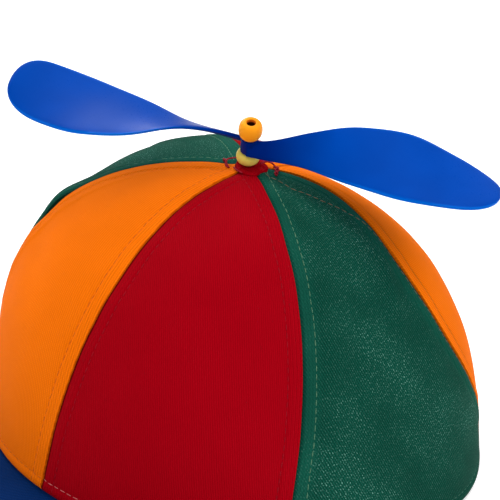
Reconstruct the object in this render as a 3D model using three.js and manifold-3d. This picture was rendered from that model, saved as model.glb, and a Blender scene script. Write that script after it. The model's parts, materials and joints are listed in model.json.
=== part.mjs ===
// A peaked propeller cap: six cotton crown panels, a curved peak, and a two-bladed propeller that
// spins on a leaning spindle between two drilled beads.
// Millimetres, +Z up. The peak points to -Y and the wearer's left is +X. The cap stands on z = 0.
// An azimuth is in degrees from the front, positive towards the wearer's left.
import * as THREE from "three";
import { mergeVertices } from "three/addons/utils/BufferGeometryUtils.js";
import Module from "manifold-3d";

const wasm = await Module();
wasm.setup();

// Driving dimensions
const crownRadius = 91;
const crownHeight = 101.2;
const crownLean = 5.2; // degrees, backwards
const crownSway = new THREE.Vector2(-3.6, -0.1); // the apex against the rim's centre, before the lean
const rimWander = 0.02; // the rim's rounded three-cornered sag, as a share of the radius
const clothThickness = 1.8;
const panelPuff = 1.2; // how far a panel's middle stands proud of its seams
const panelPuffInwards = 0.5; // the share of it by which the seams lie below the plain crown
const pieceGap = 0.35;
const seamGap = 0.42;

const nubHeight = 2.5; // the gathered cloth under the lower bead
const nubRadius = 4.5;

const peakDepth = 70;
const peakWidth = 168;
const peakSweep = 104; // how far round its outer curve each side goes, past the widest point at 90
const peakSquareness = 0.9; // 1 is an ellipse, and less is squarer
const peakSpread = 62; // azimuth of the peak's ends on the rim
const peakThickness = 3.2;
const peakBend = 163; // radius of the curve across the peak
const peakSlope = 0.12; // fall for each millimetre forwards
const peakEdgeRound = 0.9;
const rimFadeStart = peakSpread + 2; // between these azimuths the rim comes down to the surface
const rimFadeEnd = 120;

const spindleLean = 20.4;
const spindleLeanAzimuth = 54;
const spindleOffset = new THREE.Vector2(-1, -1.1); // from the crown's apex
const postRadius = 1.25;
const postSink = 2.6; // how far the post ends below the upper bead's mouth
const apexHoleClearance = 2.8; // between the leaning post and the cloth's hole
const apexHoleRadius = postRadius + apexHoleClearance;
const footOverlap = 4.2; // how far the foot reaches under the cloth
const footRadius = apexHoleRadius + footOverlap;
const footThickness = 1.5;
const footClearance = 1.0;

const boreRadius = postRadius + pieceGap;
const beadRadius = 4.15;
const beadSquareness = 0.8; // 1 is round, and less is fuller
const baseBeadClearance = 0.6; // along the spindle, over the cloth
const baseBeadLength = 4.4;
const hubRadius = 2.95;
const hubLength = 6.2;
const topBeadLength = 6.6;
const beadMouthChamfer = 0.35;

const bladeSpan = 87;
const bladeThickness = 1.8;
const bladeRise = 5.4; // the blades' line above the hub's lower end
const bladeStart = 3.8; // where the first station of the table lies from the axis
const bladeTurn = 31.4; // about the spindle, at rest
const bladeTipSquareness = 4.5;
const bladeEdgeSquareness = 0.5; // of a section's edges: 1 is round, and less is squarer
const bladeCone = 1; // how far a tip stands above the blades' line

// The crown's meridians. fullness and rise shape the shoulder. turn is a share of a quarter turn:
// below 0 the wall still flares at the rim, and above 0 it tucks in.
const meridians = [
  { azimuth: 0, fullness: 0.9, rise: 0.75, turn: -0.11 },
  { azimuth: 45, fullness: 0.84, rise: 0.63, turn: -0.15 },
  { azimuth: 90, fullness: 1.06, rise: 0.64, turn: -0.23 },
  { azimuth: 135, fullness: 1.01, rise: 0.77, turn: -0.07 },
  { azimuth: 180, fullness: 1, rise: 0.84, turn: -0.12 },
  { azimuth: 225, fullness: 0.84, rise: 0.61, turn: 0.05 },
  { azimuth: 270, fullness: 0.75, rise: 0.6, turn: -0.01 },
  { azimuth: 315, fullness: 1.03, rise: 0.58, turn: 0 },
];

// The azimuths that each seam passes on its way from the apex to the rim, from the front seam round.
const seams = [
  { top: 2, middle: 3, rim: 0 },
  { top: 60, middle: 62, rim: 55 },
  { top: 149, middle: 117, rim: 140 },
  { top: 190, middle: 183, rim: 180 },
  { top: 232, middle: 240, rim: 238 },
  { top: 299, middle: 306, rim: 312 },
];

const panels = [
  { name: "panel_front_left", from: 0, colour: 0x9b000f },
  { name: "panel_side_left", from: 1, colour: 0x124b3c },
  { name: "panel_back_left", from: 2, colour: 0xeb6e05 },
  { name: "panel_back_right", from: 3, colour: 0x9b000f },
  { name: "panel_side_right", from: 4, colour: 0x124b3c },
  { name: "panel_front_right", from: 5, colour: 0xeb6e05 },
];

// A blade's stations from the root, 0, to the tip, 1. lead and trail are shares of the span from the
// blade's line to its edges, and pitch is the chord's angle to the plane of spin in degrees.
const bladeStations = [
  { share: 0.0, lead: 0.002, trail: 0.07, pitch: 50 },
  { share: 0.2, lead: 0.082, trail: 0.066, pitch: 36 },
  { share: 0.4, lead: 0.171, trail: 0.103, pitch: 14.5 },
  { share: 0.6, lead: 0.209, trail: 0.135, pitch: 5.5 },
  { share: 0.8, lead: 0.185, trail: 0.157, pitch: -5 },
  { share: 1.0, lead: 0.16, trail: 0.2, pitch: -15.5 },
];

const panelColumns = 8;
const panelRows = 18;
const panelRowGrading = 0.9; // below 1 the rows are closer together at the rim
const peakColumns = 28;
const peakRows = 7;
const bladeSections = 16;
const bladeSectionHalf = 6;
const bladeLastSection = 0.995; // share of the span; a flat face closes the tip there
const beadRows = 12;
const roundSegments = 24;
const slopeStep = 0.01; // share of a panel over which its slope is taken
const weldDistance = 1e-4;

const radians = THREE.MathUtils.degToRad;

/** A cubic through p1 and p2 whose slopes follow their neighbours. */
function cubic(p0, p1, p2, p3, t) {
  const m1 = (p2 - p0) / 2;
  const m2 = (p3 - p1) / 2;
  const t2 = t * t;
  const t3 = t2 * t;
  return (2 * t3 - 3 * t2 + 1) * p1 + (t3 - 2 * t2 + t) * m1 + (3 * t2 - 2 * t3) * p2 + (t3 - t2) * m2;
}

/** A meridian column at any azimuth, round and round. */
function meridianValue(column, azimuth) {
  const turned = THREE.MathUtils.euclideanModulo(azimuth, 360);
  const row = meridians.findLastIndex((meridian) => meridian.azimuth <= turned);
  const at = (step) => meridians[(row + step + meridians.length) % meridians.length];
  const spacing = THREE.MathUtils.euclideanModulo(at(1).azimuth - at(0).azimuth, 360);
  const place = (turned - at(0).azimuth) / spacing;
  return cubic(at(-1)[column], at(0)[column], at(1)[column], at(2)[column], place);
}

/** A blade column at any share of the span. */
function bladeValue(column, share) {
  const last = bladeStations.length - 1;
  const row = Math.min(bladeStations.findLastIndex((station) => station.share <= share), last - 1);
  const at = (step) => bladeStations[THREE.MathUtils.clamp(row + step, 0, last)];
  const place = (share - at(0).share) / (at(1).share - at(0).share);
  return cubic(at(-1)[column], at(0)[column], at(1)[column], at(2)[column], place);
}

/** The azimuth of a seam at a share of the way from the apex to the rim. */
function seamAzimuth(index, share) {
  const seam = seams[index % seams.length];
  const straight = seam.top + (seam.rim - seam.top) * share;
  const bow = seam.middle - (seam.top + seam.rim) / 2;
  return straight + 4 * bow * share * (1 - share) + (index >= seams.length ? 360 : 0);
}

/** How much lower the peak's top lies at a point than at the middle of the front rim. */
function peakFall(x, y) {
  return peakSlope * (-y - crownRadius) + (x * x) / (2 * peakBend);
}

/** The outer edge of the peak, for u from -1 at its right end to 1 at its left end. */
function peakOuterEdge(u) {
  const angle = radians(peakSweep * u);
  const squared = (value) => Math.sign(value) * Math.abs(value) ** peakSquareness;
  const front = crownRadius + peakDepth;
  const end = crownRadius * Math.cos(radians(peakSpread));
  const radius = (front - end) / (1 - squared(Math.cos(radians(peakSweep))));
  return new THREE.Vector2(
    (peakWidth / 2) * squared(Math.sin(angle)),
    radius - front - radius * squared(Math.cos(angle)),
  );
}

/** The front rim's height, at which the peak's lowest corners stand on the surface. */
function frontRimHeight() {
  let deepest = 0;
  for (let column = 0; column <= peakColumns; column += 1) {
    const edge = peakOuterEdge((2 * column) / peakColumns - 1);
    deepest = Math.max(deepest, peakFall(edge.x, edge.y));
  }
  return deepest + peakThickness + pieceGap;
}
const frontHeight = frontRimHeight();

/** The height of the crown's lower edge at a point of the rim, which lies on the peak in front. */
function rimHeight(azimuth, x, y) {
  const away = Math.abs(THREE.MathUtils.euclideanModulo(azimuth + 180, 360) - 180);
  const fade = 1 - THREE.MathUtils.smoothstep(away, rimFadeStart, rimFadeEnd);
  return (frontHeight - peakFall(x, y)) * fade;
}

const leanCos = Math.cos(radians(crownLean));
const leanSin = Math.sin(radians(crownLean));
const leanLift = crownRadius * leanSin;

/** Leans a point of the upright crown backwards and lifts it, so that its back stands at z = 0. */
function leaned(x, y, z) {
  return new THREE.Vector3(x, leanCos * y + leanSin * z, -leanSin * y + leanCos * z + leanLift);
}

/** A point of the crown's outer face: share is 0 at the apex and 1 at the rim. */
function crownPoint(azimuth, share, puff) {
  const angle = radians(azimuth);
  const fullness = meridianValue("fullness", azimuth);
  const rise = meridianValue("rise", azimuth);
  const end = (Math.PI / 2) * (1 + meridianValue("turn", azimuth));
  const sweep = end * share;
  const height = (value) => Math.sign(Math.cos(value)) * Math.abs(Math.cos(value)) ** rise;
  const up = (height(sweep) - height(end)) / (1 - height(end));
  const wander = 1 + rimWander * Math.cos(3 * angle);
  const widest = crownRadius * wander;
  const radius = widest * Math.sin(sweep) ** fullness + puff;
  const rimX = widest * Math.sin(end) ** fullness * Math.sin(angle);
  const rimY = -widest * Math.sin(end) ** fullness * Math.cos(angle);
  const rimLift = (rimHeight(azimuth, rimX, rimY) - leanLift + leanSin * rimY) / leanCos;
  const nub = nubHeight * Math.exp(-((radius / nubRadius) ** 2));
  const x = radius * Math.sin(angle) + crownSway.x * up;
  const y = -radius * Math.cos(angle) + crownSway.y * up;
  return leaned(x, y, crownHeight * up + rimLift * (1 - up) + nub);
}

/** The share of a meridian at which the crown is a given distance from its axis. */
function shareAtRadius(azimuth, distance) {
  const fullness = meridianValue("fullness", azimuth);
  const end = (Math.PI / 2) * (1 + meridianValue("turn", azimuth));
  const sine = (distance / crownRadius) ** (1 / fullness);
  return Math.asin(sine) / end;
}

/** Makes a closed geometry from points and triangles, and turns its faces outwards. */
function closedGeometry(points, triangles) {
  let volume = 0;
  for (const [a, b, c] of triangles) {
    volume += points[a].dot(new THREE.Vector3().crossVectors(points[b], points[c]));
  }
  const geometry = new THREE.BufferGeometry().setFromPoints(points);
  geometry.setIndex(triangles.flatMap(([a, b, c]) => (volume > 0 ? [a, b, c] : [a, c, b])));
  return geometry;
}

/** A wall between two grids of points of the same size, closed all round its border. */
function wallGeometry(outer, inner) {
  const columns = outer.length;
  const rows = outer[0].length;
  const points = [...outer.flat(), ...inner.flat()];
  const triangles = [];
  const quad = (a, b, c, d) => triangles.push([a, b, c], [a, c, d]);
  const near = (i, j) => i * rows + j;
  const far = (i, j) => columns * rows + i * rows + j;
  for (let i = 0; i < columns - 1; i += 1) {
    for (let j = 0; j < rows - 1; j += 1) {
      quad(near(i, j), near(i + 1, j), near(i + 1, j + 1), near(i, j + 1));
      quad(far(i, j), far(i, j + 1), far(i + 1, j + 1), far(i + 1, j));
    }
    quad(near(i + 1, 0), near(i, 0), far(i, 0), far(i + 1, 0));
    quad(near(i, rows - 1), near(i + 1, rows - 1), far(i + 1, rows - 1), far(i, rows - 1));
  }
  for (let j = 0; j < rows - 1; j += 1) {
    quad(near(0, j), near(0, j + 1), far(0, j + 1), far(0, j));
    quad(near(columns - 1, j + 1), near(columns - 1, j), far(columns - 1, j), far(columns - 1, j + 1));
  }
  return closedGeometry(points, triangles);
}

/** Rings of points joined one to the next, with a fan over each end. */
function loftGeometry(rings) {
  const count = rings[0].length;
  const centre = (ring) => ring.reduce((sum, p) => sum.add(p), new THREE.Vector3()).divideScalar(count);
  const points = [...rings.flat(), centre(rings[0]), centre(rings.at(-1))];
  const [first, last] = [points.length - 2, points.length - 1];
  const triangles = [];
  for (let k = 0; k < count; k += 1) {
    const next = (k + 1) % count;
    for (let r = 0; r < rings.length - 1; r += 1) {
      const [low, high] = [r * count, (r + 1) * count];
      triangles.push([low + k, low + next, high + next], [low + k, high + next, high + k]);
    }
    const end = (rings.length - 1) * count;
    triangles.push([first, next, k], [last, end + k, end + next]);
  }
  return closedGeometry(points, triangles);
}

/** The azimuth at a share of the way across a panel, trimmed at both seams. */
function panelAzimuth(left, right, trim, across) {
  return left + trim + (right - left - 2 * trim) * across;
}

/** One crown panel between two seams. */
function panelGeometry(from) {
  const outer = [];
  const inner = [];
  for (let i = 0; i <= panelColumns; i += 1) {
    const across = i / panelColumns;
    outer.push([]);
    inner.push([]);
    for (let j = 0; j <= panelRows; j += 1) {
      const down = (j / panelRows) ** panelRowGrading;
      const point = (offset, drop) => {
        const share = down + drop;
        const left = seamAzimuth(from, share);
        const right = seamAzimuth(from + 1, share);
        const middle = left + (right - left) * across;
        const start = shareAtRadius(middle, apexHoleRadius);
        const along = start + (1 - start) * share;
        const radius = Math.max(crownRadius * Math.sin((along * Math.PI) / 2), apexHoleRadius);
        const trim = THREE.MathUtils.radToDeg(seamGap / 2 / radius);
        const azimuth = panelAzimuth(left, right, trim, across + offset);
        const proud = Math.sin(Math.PI * across) - panelPuffInwards;
        return crownPoint(azimuth, along, panelPuff * proud * Math.sin(Math.PI * share));
      };
      const here = point(0, 0);
      const step = j === panelRows ? -slopeStep : slopeStep;
      const aside = i === panelColumns ? -slopeStep : slopeStep;
      const sideways = point(aside, 0).sub(here).multiplyScalar(Math.sign(aside));
      const downwards = point(0, step).sub(here).multiplyScalar(Math.sign(step));
      const normal = downwards.cross(sideways).normalize();
      outer[i].push(here);
      inner[i].push(here.clone().addScaledVector(normal, -clothThickness));
    }
    const trim = THREE.MathUtils.radToDeg(seamGap / 2 / crownRadius);
    const azimuth = panelAzimuth(seamAzimuth(from, 1), seamAzimuth(from + 1, 1), trim, across);
    for (const edge of [outer[i][panelRows], inner[i][panelRows]]) {
      edge.z = rimHeight(azimuth, edge.x, edge.y);
    }
  }
  return wallGeometry(outer, inner);
}

/** The curved board of the peak, tucked up under the front rim. */
function peakGeometry() {
  const top = [];
  const bottom = [];
  for (let i = 0; i <= peakColumns; i += 1) {
    const u = (2 * i) / peakColumns - 1;
    const angle = radians(peakSpread * u);
    const rim = crownPoint(peakSpread * u, 1, 0);
    const inside = new THREE.Vector2(
      rim.x - clothThickness * Math.sin(angle),
      rim.y + clothThickness * Math.cos(angle),
    );
    const outside = peakOuterEdge(u);
    const slack = outside.distanceTo(inside);
    top.push([]);
    bottom.push([]);
    for (let j = 0; j <= peakRows; j += 1) {
      const rounding = Math.min(peakEdgeRound / slack, 1 / (2 * peakRows));
      const share = j < peakRows ? (j / (peakRows - 1)) * (1 - rounding) : 1;
      const place = inside.clone().lerp(outside, share);
      const z = frontHeight - pieceGap - peakFall(place.x, place.y);
      const soften = j === peakRows ? peakEdgeRound : 0;
      top[i].push(new THREE.Vector3(place.x, place.y, z - soften));
      bottom[i].push(new THREE.Vector3(place.x, place.y, z - peakThickness + soften));
    }
  }
  return wallGeometry(top, bottom);
}

/** A drilled bead whose axis is +Z, from z = 0 up. */
function beadGeometry(length) {
  const profile = [];
  const mouth = boreRadius + beadMouthChamfer;
  for (let k = 0; k <= beadRows; k += 1) {
    const angle = radians(-90 + (180 * k) / beadRows);
    const bulge = Math.abs(Math.cos(angle)) ** beadSquareness;
    const radius = mouth + (beadRadius - mouth) * bulge;
    profile.push(new THREE.Vector2(radius, (length / 2) * (1 + Math.sin(angle))));
  }
  profile.push(new THREE.Vector2(boreRadius, length - beadMouthChamfer));
  profile.push(new THREE.Vector2(boreRadius, beadMouthChamfer));
  profile.push(profile[0].clone());
  const lathe = new THREE.LatheGeometry(profile, roundSegments);
  lathe.rotateX(Math.PI / 2);
  return weldedGeometry(lathe);
}

/** The same surface with its shared points merged and its faces turned outwards. */
function weldedGeometry(source) {
  const bare = source.clone();
  bare.deleteAttribute("normal");
  bare.deleteAttribute("uv");
  const merged = mergeVertices(bare, weldDistance);
  const position = merged.getAttribute("position");
  const points = [];
  for (let k = 0; k < position.count; k += 1) {
    points.push(new THREE.Vector3().fromBufferAttribute(position, k));
  }
  const index = merged.getIndex().array;
  const triangles = [];
  for (let k = 0; k < index.length; k += 3) {
    const [a, b, c] = [index[k], index[k + 1], index[k + 2]];
    if (a !== b && b !== c && c !== a) triangles.push([a, b, c]);
  }
  return closedGeometry(points, triangles);
}

/** A solid for joining and cutting, from a closed geometry. */
function solidOf(geometry) {
  const closed = weldedGeometry(geometry);
  return new wasm.Manifold(
    new wasm.Mesh({
      numProp: 3,
      vertProperties: new Float32Array(closed.getAttribute("position").array),
      triVerts: new Uint32Array(closed.getIndex().array),
    }),
  );
}

/** The geometry of a solid that was joined or cut. */
function geometryOf(solid) {
  const mesh = solid.getMesh();
  const geometry = new THREE.BufferGeometry();
  geometry.setAttribute("position", new THREE.BufferAttribute(new Float32Array(mesh.vertProperties), 3));
  geometry.setIndex([...mesh.triVerts]);
  return geometry;
}

/** A cylinder along +Z that starts at a height. */
function upright(radius, height, start) {
  const cylinder = new THREE.CylinderGeometry(radius, radius, height, roundSegments);
  cylinder.rotateX(Math.PI / 2);
  cylinder.translate(0, 0, start + height / 2);
  return cylinder;
}

const apex = leaned(crownSway.x, crownSway.y, crownHeight + nubHeight);
const spindleAxis = new THREE.Vector3(
  Math.sin(radians(spindleLean)) * Math.sin(radians(spindleLeanAzimuth)),
  -Math.sin(radians(spindleLean)) * Math.cos(radians(spindleLeanAzimuth)),
  Math.cos(radians(spindleLean)),
);
const spindleTurn = new THREE.Quaternion().setFromUnitVectors(new THREE.Vector3(0, 0, 1), spindleAxis);
const spindleBase = new THREE.Vector3(
  apex.x + spindleOffset.x,
  apex.y + spindleOffset.y,
  apex.z - clothThickness / 2,
);

// Heights along the spindle are from the middle of the cloth at the apex.
const baseBeadStart = clothThickness / 2 + baseBeadClearance;
const hubStart = baseBeadStart + baseBeadLength + pieceGap;
const topBeadStart = hubStart + hubLength + pieceGap;
const postTop = topBeadStart + topBeadLength - postSink;

/** The plain post and the foot that holds it under the cloth, in the spindle's own frame. */
function spindleGeometry() {
  const footTop = leaned(crownSway.x, crownSway.y, crownHeight - clothThickness - footClearance);
  const foot = upright(footRadius, footThickness, -footThickness);
  foot.rotateX(-radians(crownLean));
  foot.translate(footTop.x, footTop.y, footTop.z);
  foot.translate(-spindleBase.x, -spindleBase.y, -spindleBase.z);
  foot.applyQuaternion(spindleTurn.clone().invert());
  const depth = (spindleBase.z - footTop.z) / spindleAxis.z + footThickness / 2;
  const post = upright(postRadius, postTop + depth, -depth);
  return geometryOf(solidOf(post).add(solidOf(foot)));
}

/** One blade along +X, from the hub's axis outwards. */
function bladeGeometry() {
  const rings = [];
  const ring = (distance, share) => {
    const closing = Math.sqrt(1 - share ** (2 * bladeTipSquareness));
    const pitch = radians(bladeValue("pitch", share));
    const lead = bladeValue("lead", share) * bladeSpan * closing;
    const trail = bladeValue("trail", share) * bladeSpan * closing;
    const lift = bladeRise + bladeCone * share * share;
    const points = [];
    for (let k = 0; k < 2 * bladeSectionHalf; k += 1) {
      const angle = (Math.PI * k) / bladeSectionHalf;
      const across = Math.cos(angle);
      const along = (lead - trail) / 2 + ((lead + trail) / 2) * across;
      const sine = Math.sin(angle);
      const thick = (Math.sign(sine) * Math.abs(sine) ** bladeEdgeSquareness * bladeThickness) / 2;
      points.push(new THREE.Vector3(
        distance,
        along * Math.cos(pitch) - thick * Math.sin(pitch),
        lift + along * Math.sin(pitch) + thick * Math.cos(pitch),
      ));
    }
    return points;
  };
  rings.push(ring(0, 0));
  for (let k = 0; k <= bladeSections; k += 1) {
    const share = bladeLastSection * Math.sin((Math.PI / 2) * (k / bladeSections));
    rings.push(ring(bladeStart + (bladeSpan - bladeStart) * share, share));
  }
  return loftGeometry(rings);
}

/** The hub and both blades, in one moulding, with the bore for the post. */
function propellerGeometry() {
  let solid = solidOf(upright(hubRadius, hubLength, 0));
  for (const turn of [0, Math.PI]) {
    const blade = bladeGeometry();
    blade.rotateZ(turn);
    solid = solid.add(solidOf(blade));
  }
  return geometryOf(solid.subtract(solidOf(upright(boreRadius, 3 * hubLength, -hubLength))));
}

/** A named mesh with its own material. */
function piece(name, geometry, colour, roughness) {
  geometry.computeVertexNormals();
  const mesh = new THREE.Mesh(
    geometry,
    new THREE.MeshStandardMaterial({ color: colour, roughness, metalness: 0, flatShading: true }),
  );
  mesh.name = name;
  return mesh;
}

const clothRoughness = 0.9;
const plasticRoughness = 0.25;
const cap = new THREE.Group();
for (const { name, from, colour } of panels) {
  cap.add(piece(name, panelGeometry(from), colour, clothRoughness));
}
cap.add(piece("peak", peakGeometry(), 0x002050, clothRoughness));

const stack = new THREE.Group();
stack.position.copy(spindleBase);
stack.quaternion.copy(spindleTurn);
stack.add(piece("spindle", spindleGeometry(), 0x181818, plasticRoughness));

const baseBead = piece("base_bead", beadGeometry(baseBeadLength), 0xe1cd5a, plasticRoughness);
baseBead.position.z = baseBeadStart;
stack.add(baseBead);

const propeller = piece("propeller", propellerGeometry(), 0x0046b4, plasticRoughness);
propeller.position.z = hubStart;
propeller.rotation.z = radians(bladeTurn);
stack.add(propeller);

const topBead = piece("top_bead", beadGeometry(topBeadLength), 0xfca023, plasticRoughness);
topBead.position.z = topBeadStart;
stack.add(topBead);
cap.add(stack);

// The origin is under the middle of the whole cap, on the surface that it stands on.
cap.updateMatrixWorld(true);
const bounds = new THREE.Box3().setFromObject(cap, true);
const middle = bounds.getCenter(new THREE.Vector3());
cap.position.set(-middle.x, -middle.y, -bounds.min.z);

export default cap;
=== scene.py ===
"""The looks of a peaked propeller cap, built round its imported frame.

Six sewn twill panels, a boarded peak, topstitching, a gathered cloth neck with tack threads, a
moulded two-bladed propeller and two drilled beads.

Lengths in the dataclasses are millimetres, and MM turns them into metres. An azimuth is in degrees
from the front, positive towards the wearer's left. The hat's own frame has its origin under the
middle of the crown, and Placing moves it into the frame of the part.
"""
from __future__ import annotations

import json
import logging
import math
import random
from dataclasses import dataclass, field
from enum import Enum

import bmesh
import bpy
import numpy as np
from mathutils import Matrix, Quaternion, Vector, noise

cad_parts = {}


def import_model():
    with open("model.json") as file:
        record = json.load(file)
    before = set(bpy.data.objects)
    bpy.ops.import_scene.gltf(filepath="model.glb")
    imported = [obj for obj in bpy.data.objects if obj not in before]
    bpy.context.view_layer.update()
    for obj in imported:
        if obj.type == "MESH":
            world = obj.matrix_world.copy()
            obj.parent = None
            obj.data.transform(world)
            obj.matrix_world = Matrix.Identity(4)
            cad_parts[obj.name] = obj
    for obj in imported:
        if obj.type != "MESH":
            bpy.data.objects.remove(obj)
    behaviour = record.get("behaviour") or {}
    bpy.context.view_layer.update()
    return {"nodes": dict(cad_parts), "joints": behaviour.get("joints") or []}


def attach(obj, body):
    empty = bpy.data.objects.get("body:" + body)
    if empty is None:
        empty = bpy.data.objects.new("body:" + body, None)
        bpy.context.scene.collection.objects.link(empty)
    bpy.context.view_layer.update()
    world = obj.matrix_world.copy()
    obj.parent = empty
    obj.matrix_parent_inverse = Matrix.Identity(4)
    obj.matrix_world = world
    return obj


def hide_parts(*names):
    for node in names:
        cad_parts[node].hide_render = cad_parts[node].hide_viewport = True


MM = 0.001
CAP = "cap"
PROPELLER = "propeller"
Colour = tuple[float, float, float]
LOG = logging.getLogger("cap")

# The values of a noise texture over which a finish changes, softly or more sharply.
WIDE = (0.3, 0.7)
NARROW = (0.35, 0.65)


class Lap(Enum):
    """How a panel's edge meets its neighbour at a seam."""

    OVER = "over"
    UNDER = "under"


def opaque(colour: Colour) -> tuple[float, float, float, float]:
    """Gives a colour its full alpha."""
    return (*colour, 1.0)


def smoothstep(values: np.ndarray, low: float, high: float) -> np.ndarray:
    """A smooth rise from 0 at low to 1 at high.

    Args:
        values: where to take it.
        low: where the rise starts.
        high: where it ends.

    Returns:
        The rise at each value.
    """
    t = np.clip((values - low) / (high - low), 0.0, 1.0)
    return t * t * (3.0 - 2.0 * t)


def hill(values: np.ndarray, width: float) -> np.ndarray:
    """A bell of height 1 round 0, with the given width."""
    return np.exp(-((values / width) ** 2))


def cubic(p0: np.ndarray, p1: np.ndarray, p2: np.ndarray, p3: np.ndarray, t: np.ndarray) -> np.ndarray:
    """A cubic through p1 and p2 whose slopes follow their neighbours.

    Args:
        p0: the value before p1.
        p1: the value at t = 0.
        p2: the value at t = 1.
        p3: the value after p2.
        t: the place between p1 and p2.

    Returns:
        The value at t.
    """
    m1 = (p2 - p0) / 2.0
    m2 = (p3 - p1) / 2.0
    t2 = t * t
    t3 = t2 * t
    return (2 * t3 - 3 * t2 + 1) * p1 + (t3 - 2 * t2 + t) * m1 + (3 * t2 - 2 * t3) * p2 + (t3 - t2) * m2


def noise_field(points: np.ndarray, scale: float, seed: float) -> np.ndarray:
    """Smooth noise between about -1 and 1 at each point.

    Args:
        points: points in millimetres, with three numbers in the last axis.
        scale: the size of the noise's bumps in millimetres.
        seed: moves the noise, so that two fields differ.

    Returns:
        One number for each point.
    """
    flat = points.reshape(-1, 3) / scale
    values = [noise.noise(Vector((x + seed, y - seed, z + 2.0 * seed))) for x, y, z in flat]
    return np.array(values).reshape(points.shape[:-1])


def surface_normals(points: np.ndarray) -> np.ndarray:
    """The outward normals of a grid of points.

    Args:
        points: the grid, with its columns first and its rows second.

    Returns:
        A unit normal for each point.
    """
    normals = np.cross(np.gradient(points, axis=1), np.gradient(points, axis=0))
    return normals / np.linalg.norm(normals, axis=-1, keepdims=True)


def read_at(distance: float, distances: np.ndarray, values: np.ndarray) -> np.ndarray:
    """Reads a point or a normal off a line at a distance along it."""
    return np.array([np.interp(distance, distances, values[:, axis]) for axis in range(3)])


def row_at(distance: float, from_edge: np.ndarray, points: np.ndarray,
           normals: np.ndarray) -> tuple[np.ndarray, np.ndarray]:
    """A row at one distance from the edge at which every column of a grid ends.

    Args:
        distance: millimetres from the edge.
        from_edge: how far each point of the grid is from it.
        points: the grid's points.
        normals: the grid's normals.

    Returns:
        The row's points and its normals.
    """
    columns = list(zip(from_edge[:, ::-1], points[:, ::-1], normals[:, ::-1]))
    path = np.array([read_at(distance, line, spots) for line, spots, _ in columns])
    up = np.array([read_at(distance, line, upwards) for line, _, upwards in columns])
    return path, up


def direction(azimuth: float, elevation: float) -> Vector:
    """The unit vector from the cap towards an azimuth and an elevation in degrees."""
    a, e = math.radians(azimuth), math.radians(elevation)
    return Vector((math.sin(a) * math.cos(e), -math.cos(a) * math.cos(e), math.sin(e)))


@dataclass(frozen=True)
class Meridian:
    """One line from the apex to the rim.

    fullness and rise shape the shoulder. turn is a share of a quarter turn: below 0 the wall still
    flares at the rim, and above 0 it tucks in.
    """

    azimuth: float
    fullness: float
    rise: float
    turn: float


@dataclass(frozen=True)
class Seam:
    """The azimuths that a seam passes on its way from the apex to the rim."""

    top: float
    middle: float
    rim: float


@dataclass(frozen=True)
class PeakForm:
    """The peak's outline and its curve across, as the part has them."""

    depth: float = 70.0
    width: float = 168.0
    sweep: float = 104.0
    squareness: float = 0.9
    spread: float = 62.0
    thickness: float = 3.2
    bend: float = 163.0
    slope: float = 0.12
    outline_steps: int = 28

    def fall(self, x: np.ndarray, y: np.ndarray, crown_radius: float) -> np.ndarray:
        """How much lower the peak's top lies at a point than at the middle of the front rim."""
        return self.slope * (-y - crown_radius) + x * x / (2.0 * self.bend)

    def outer_edge(self, u: np.ndarray, crown_radius: float) -> tuple[np.ndarray, np.ndarray]:
        """The outer edge, for u from -1 at its right end to 1 at its left end.

        Args:
            u: places along the edge.
            crown_radius: the crown's radius.

        Returns:
            The x and y of each place.
        """
        angle = np.radians(self.sweep * u)

        def squared(value: np.ndarray) -> np.ndarray:
            """Squares off a sine or cosine."""
            return np.sign(value) * np.abs(value) ** self.squareness

        front = crown_radius + self.depth
        end = crown_radius * math.cos(math.radians(self.spread))
        radius = (front - end) / (1.0 - squared(np.cos(np.radians(self.sweep))))
        return self.width / 2.0 * squared(np.sin(angle)), radius - front - radius * squared(np.cos(angle))


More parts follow.
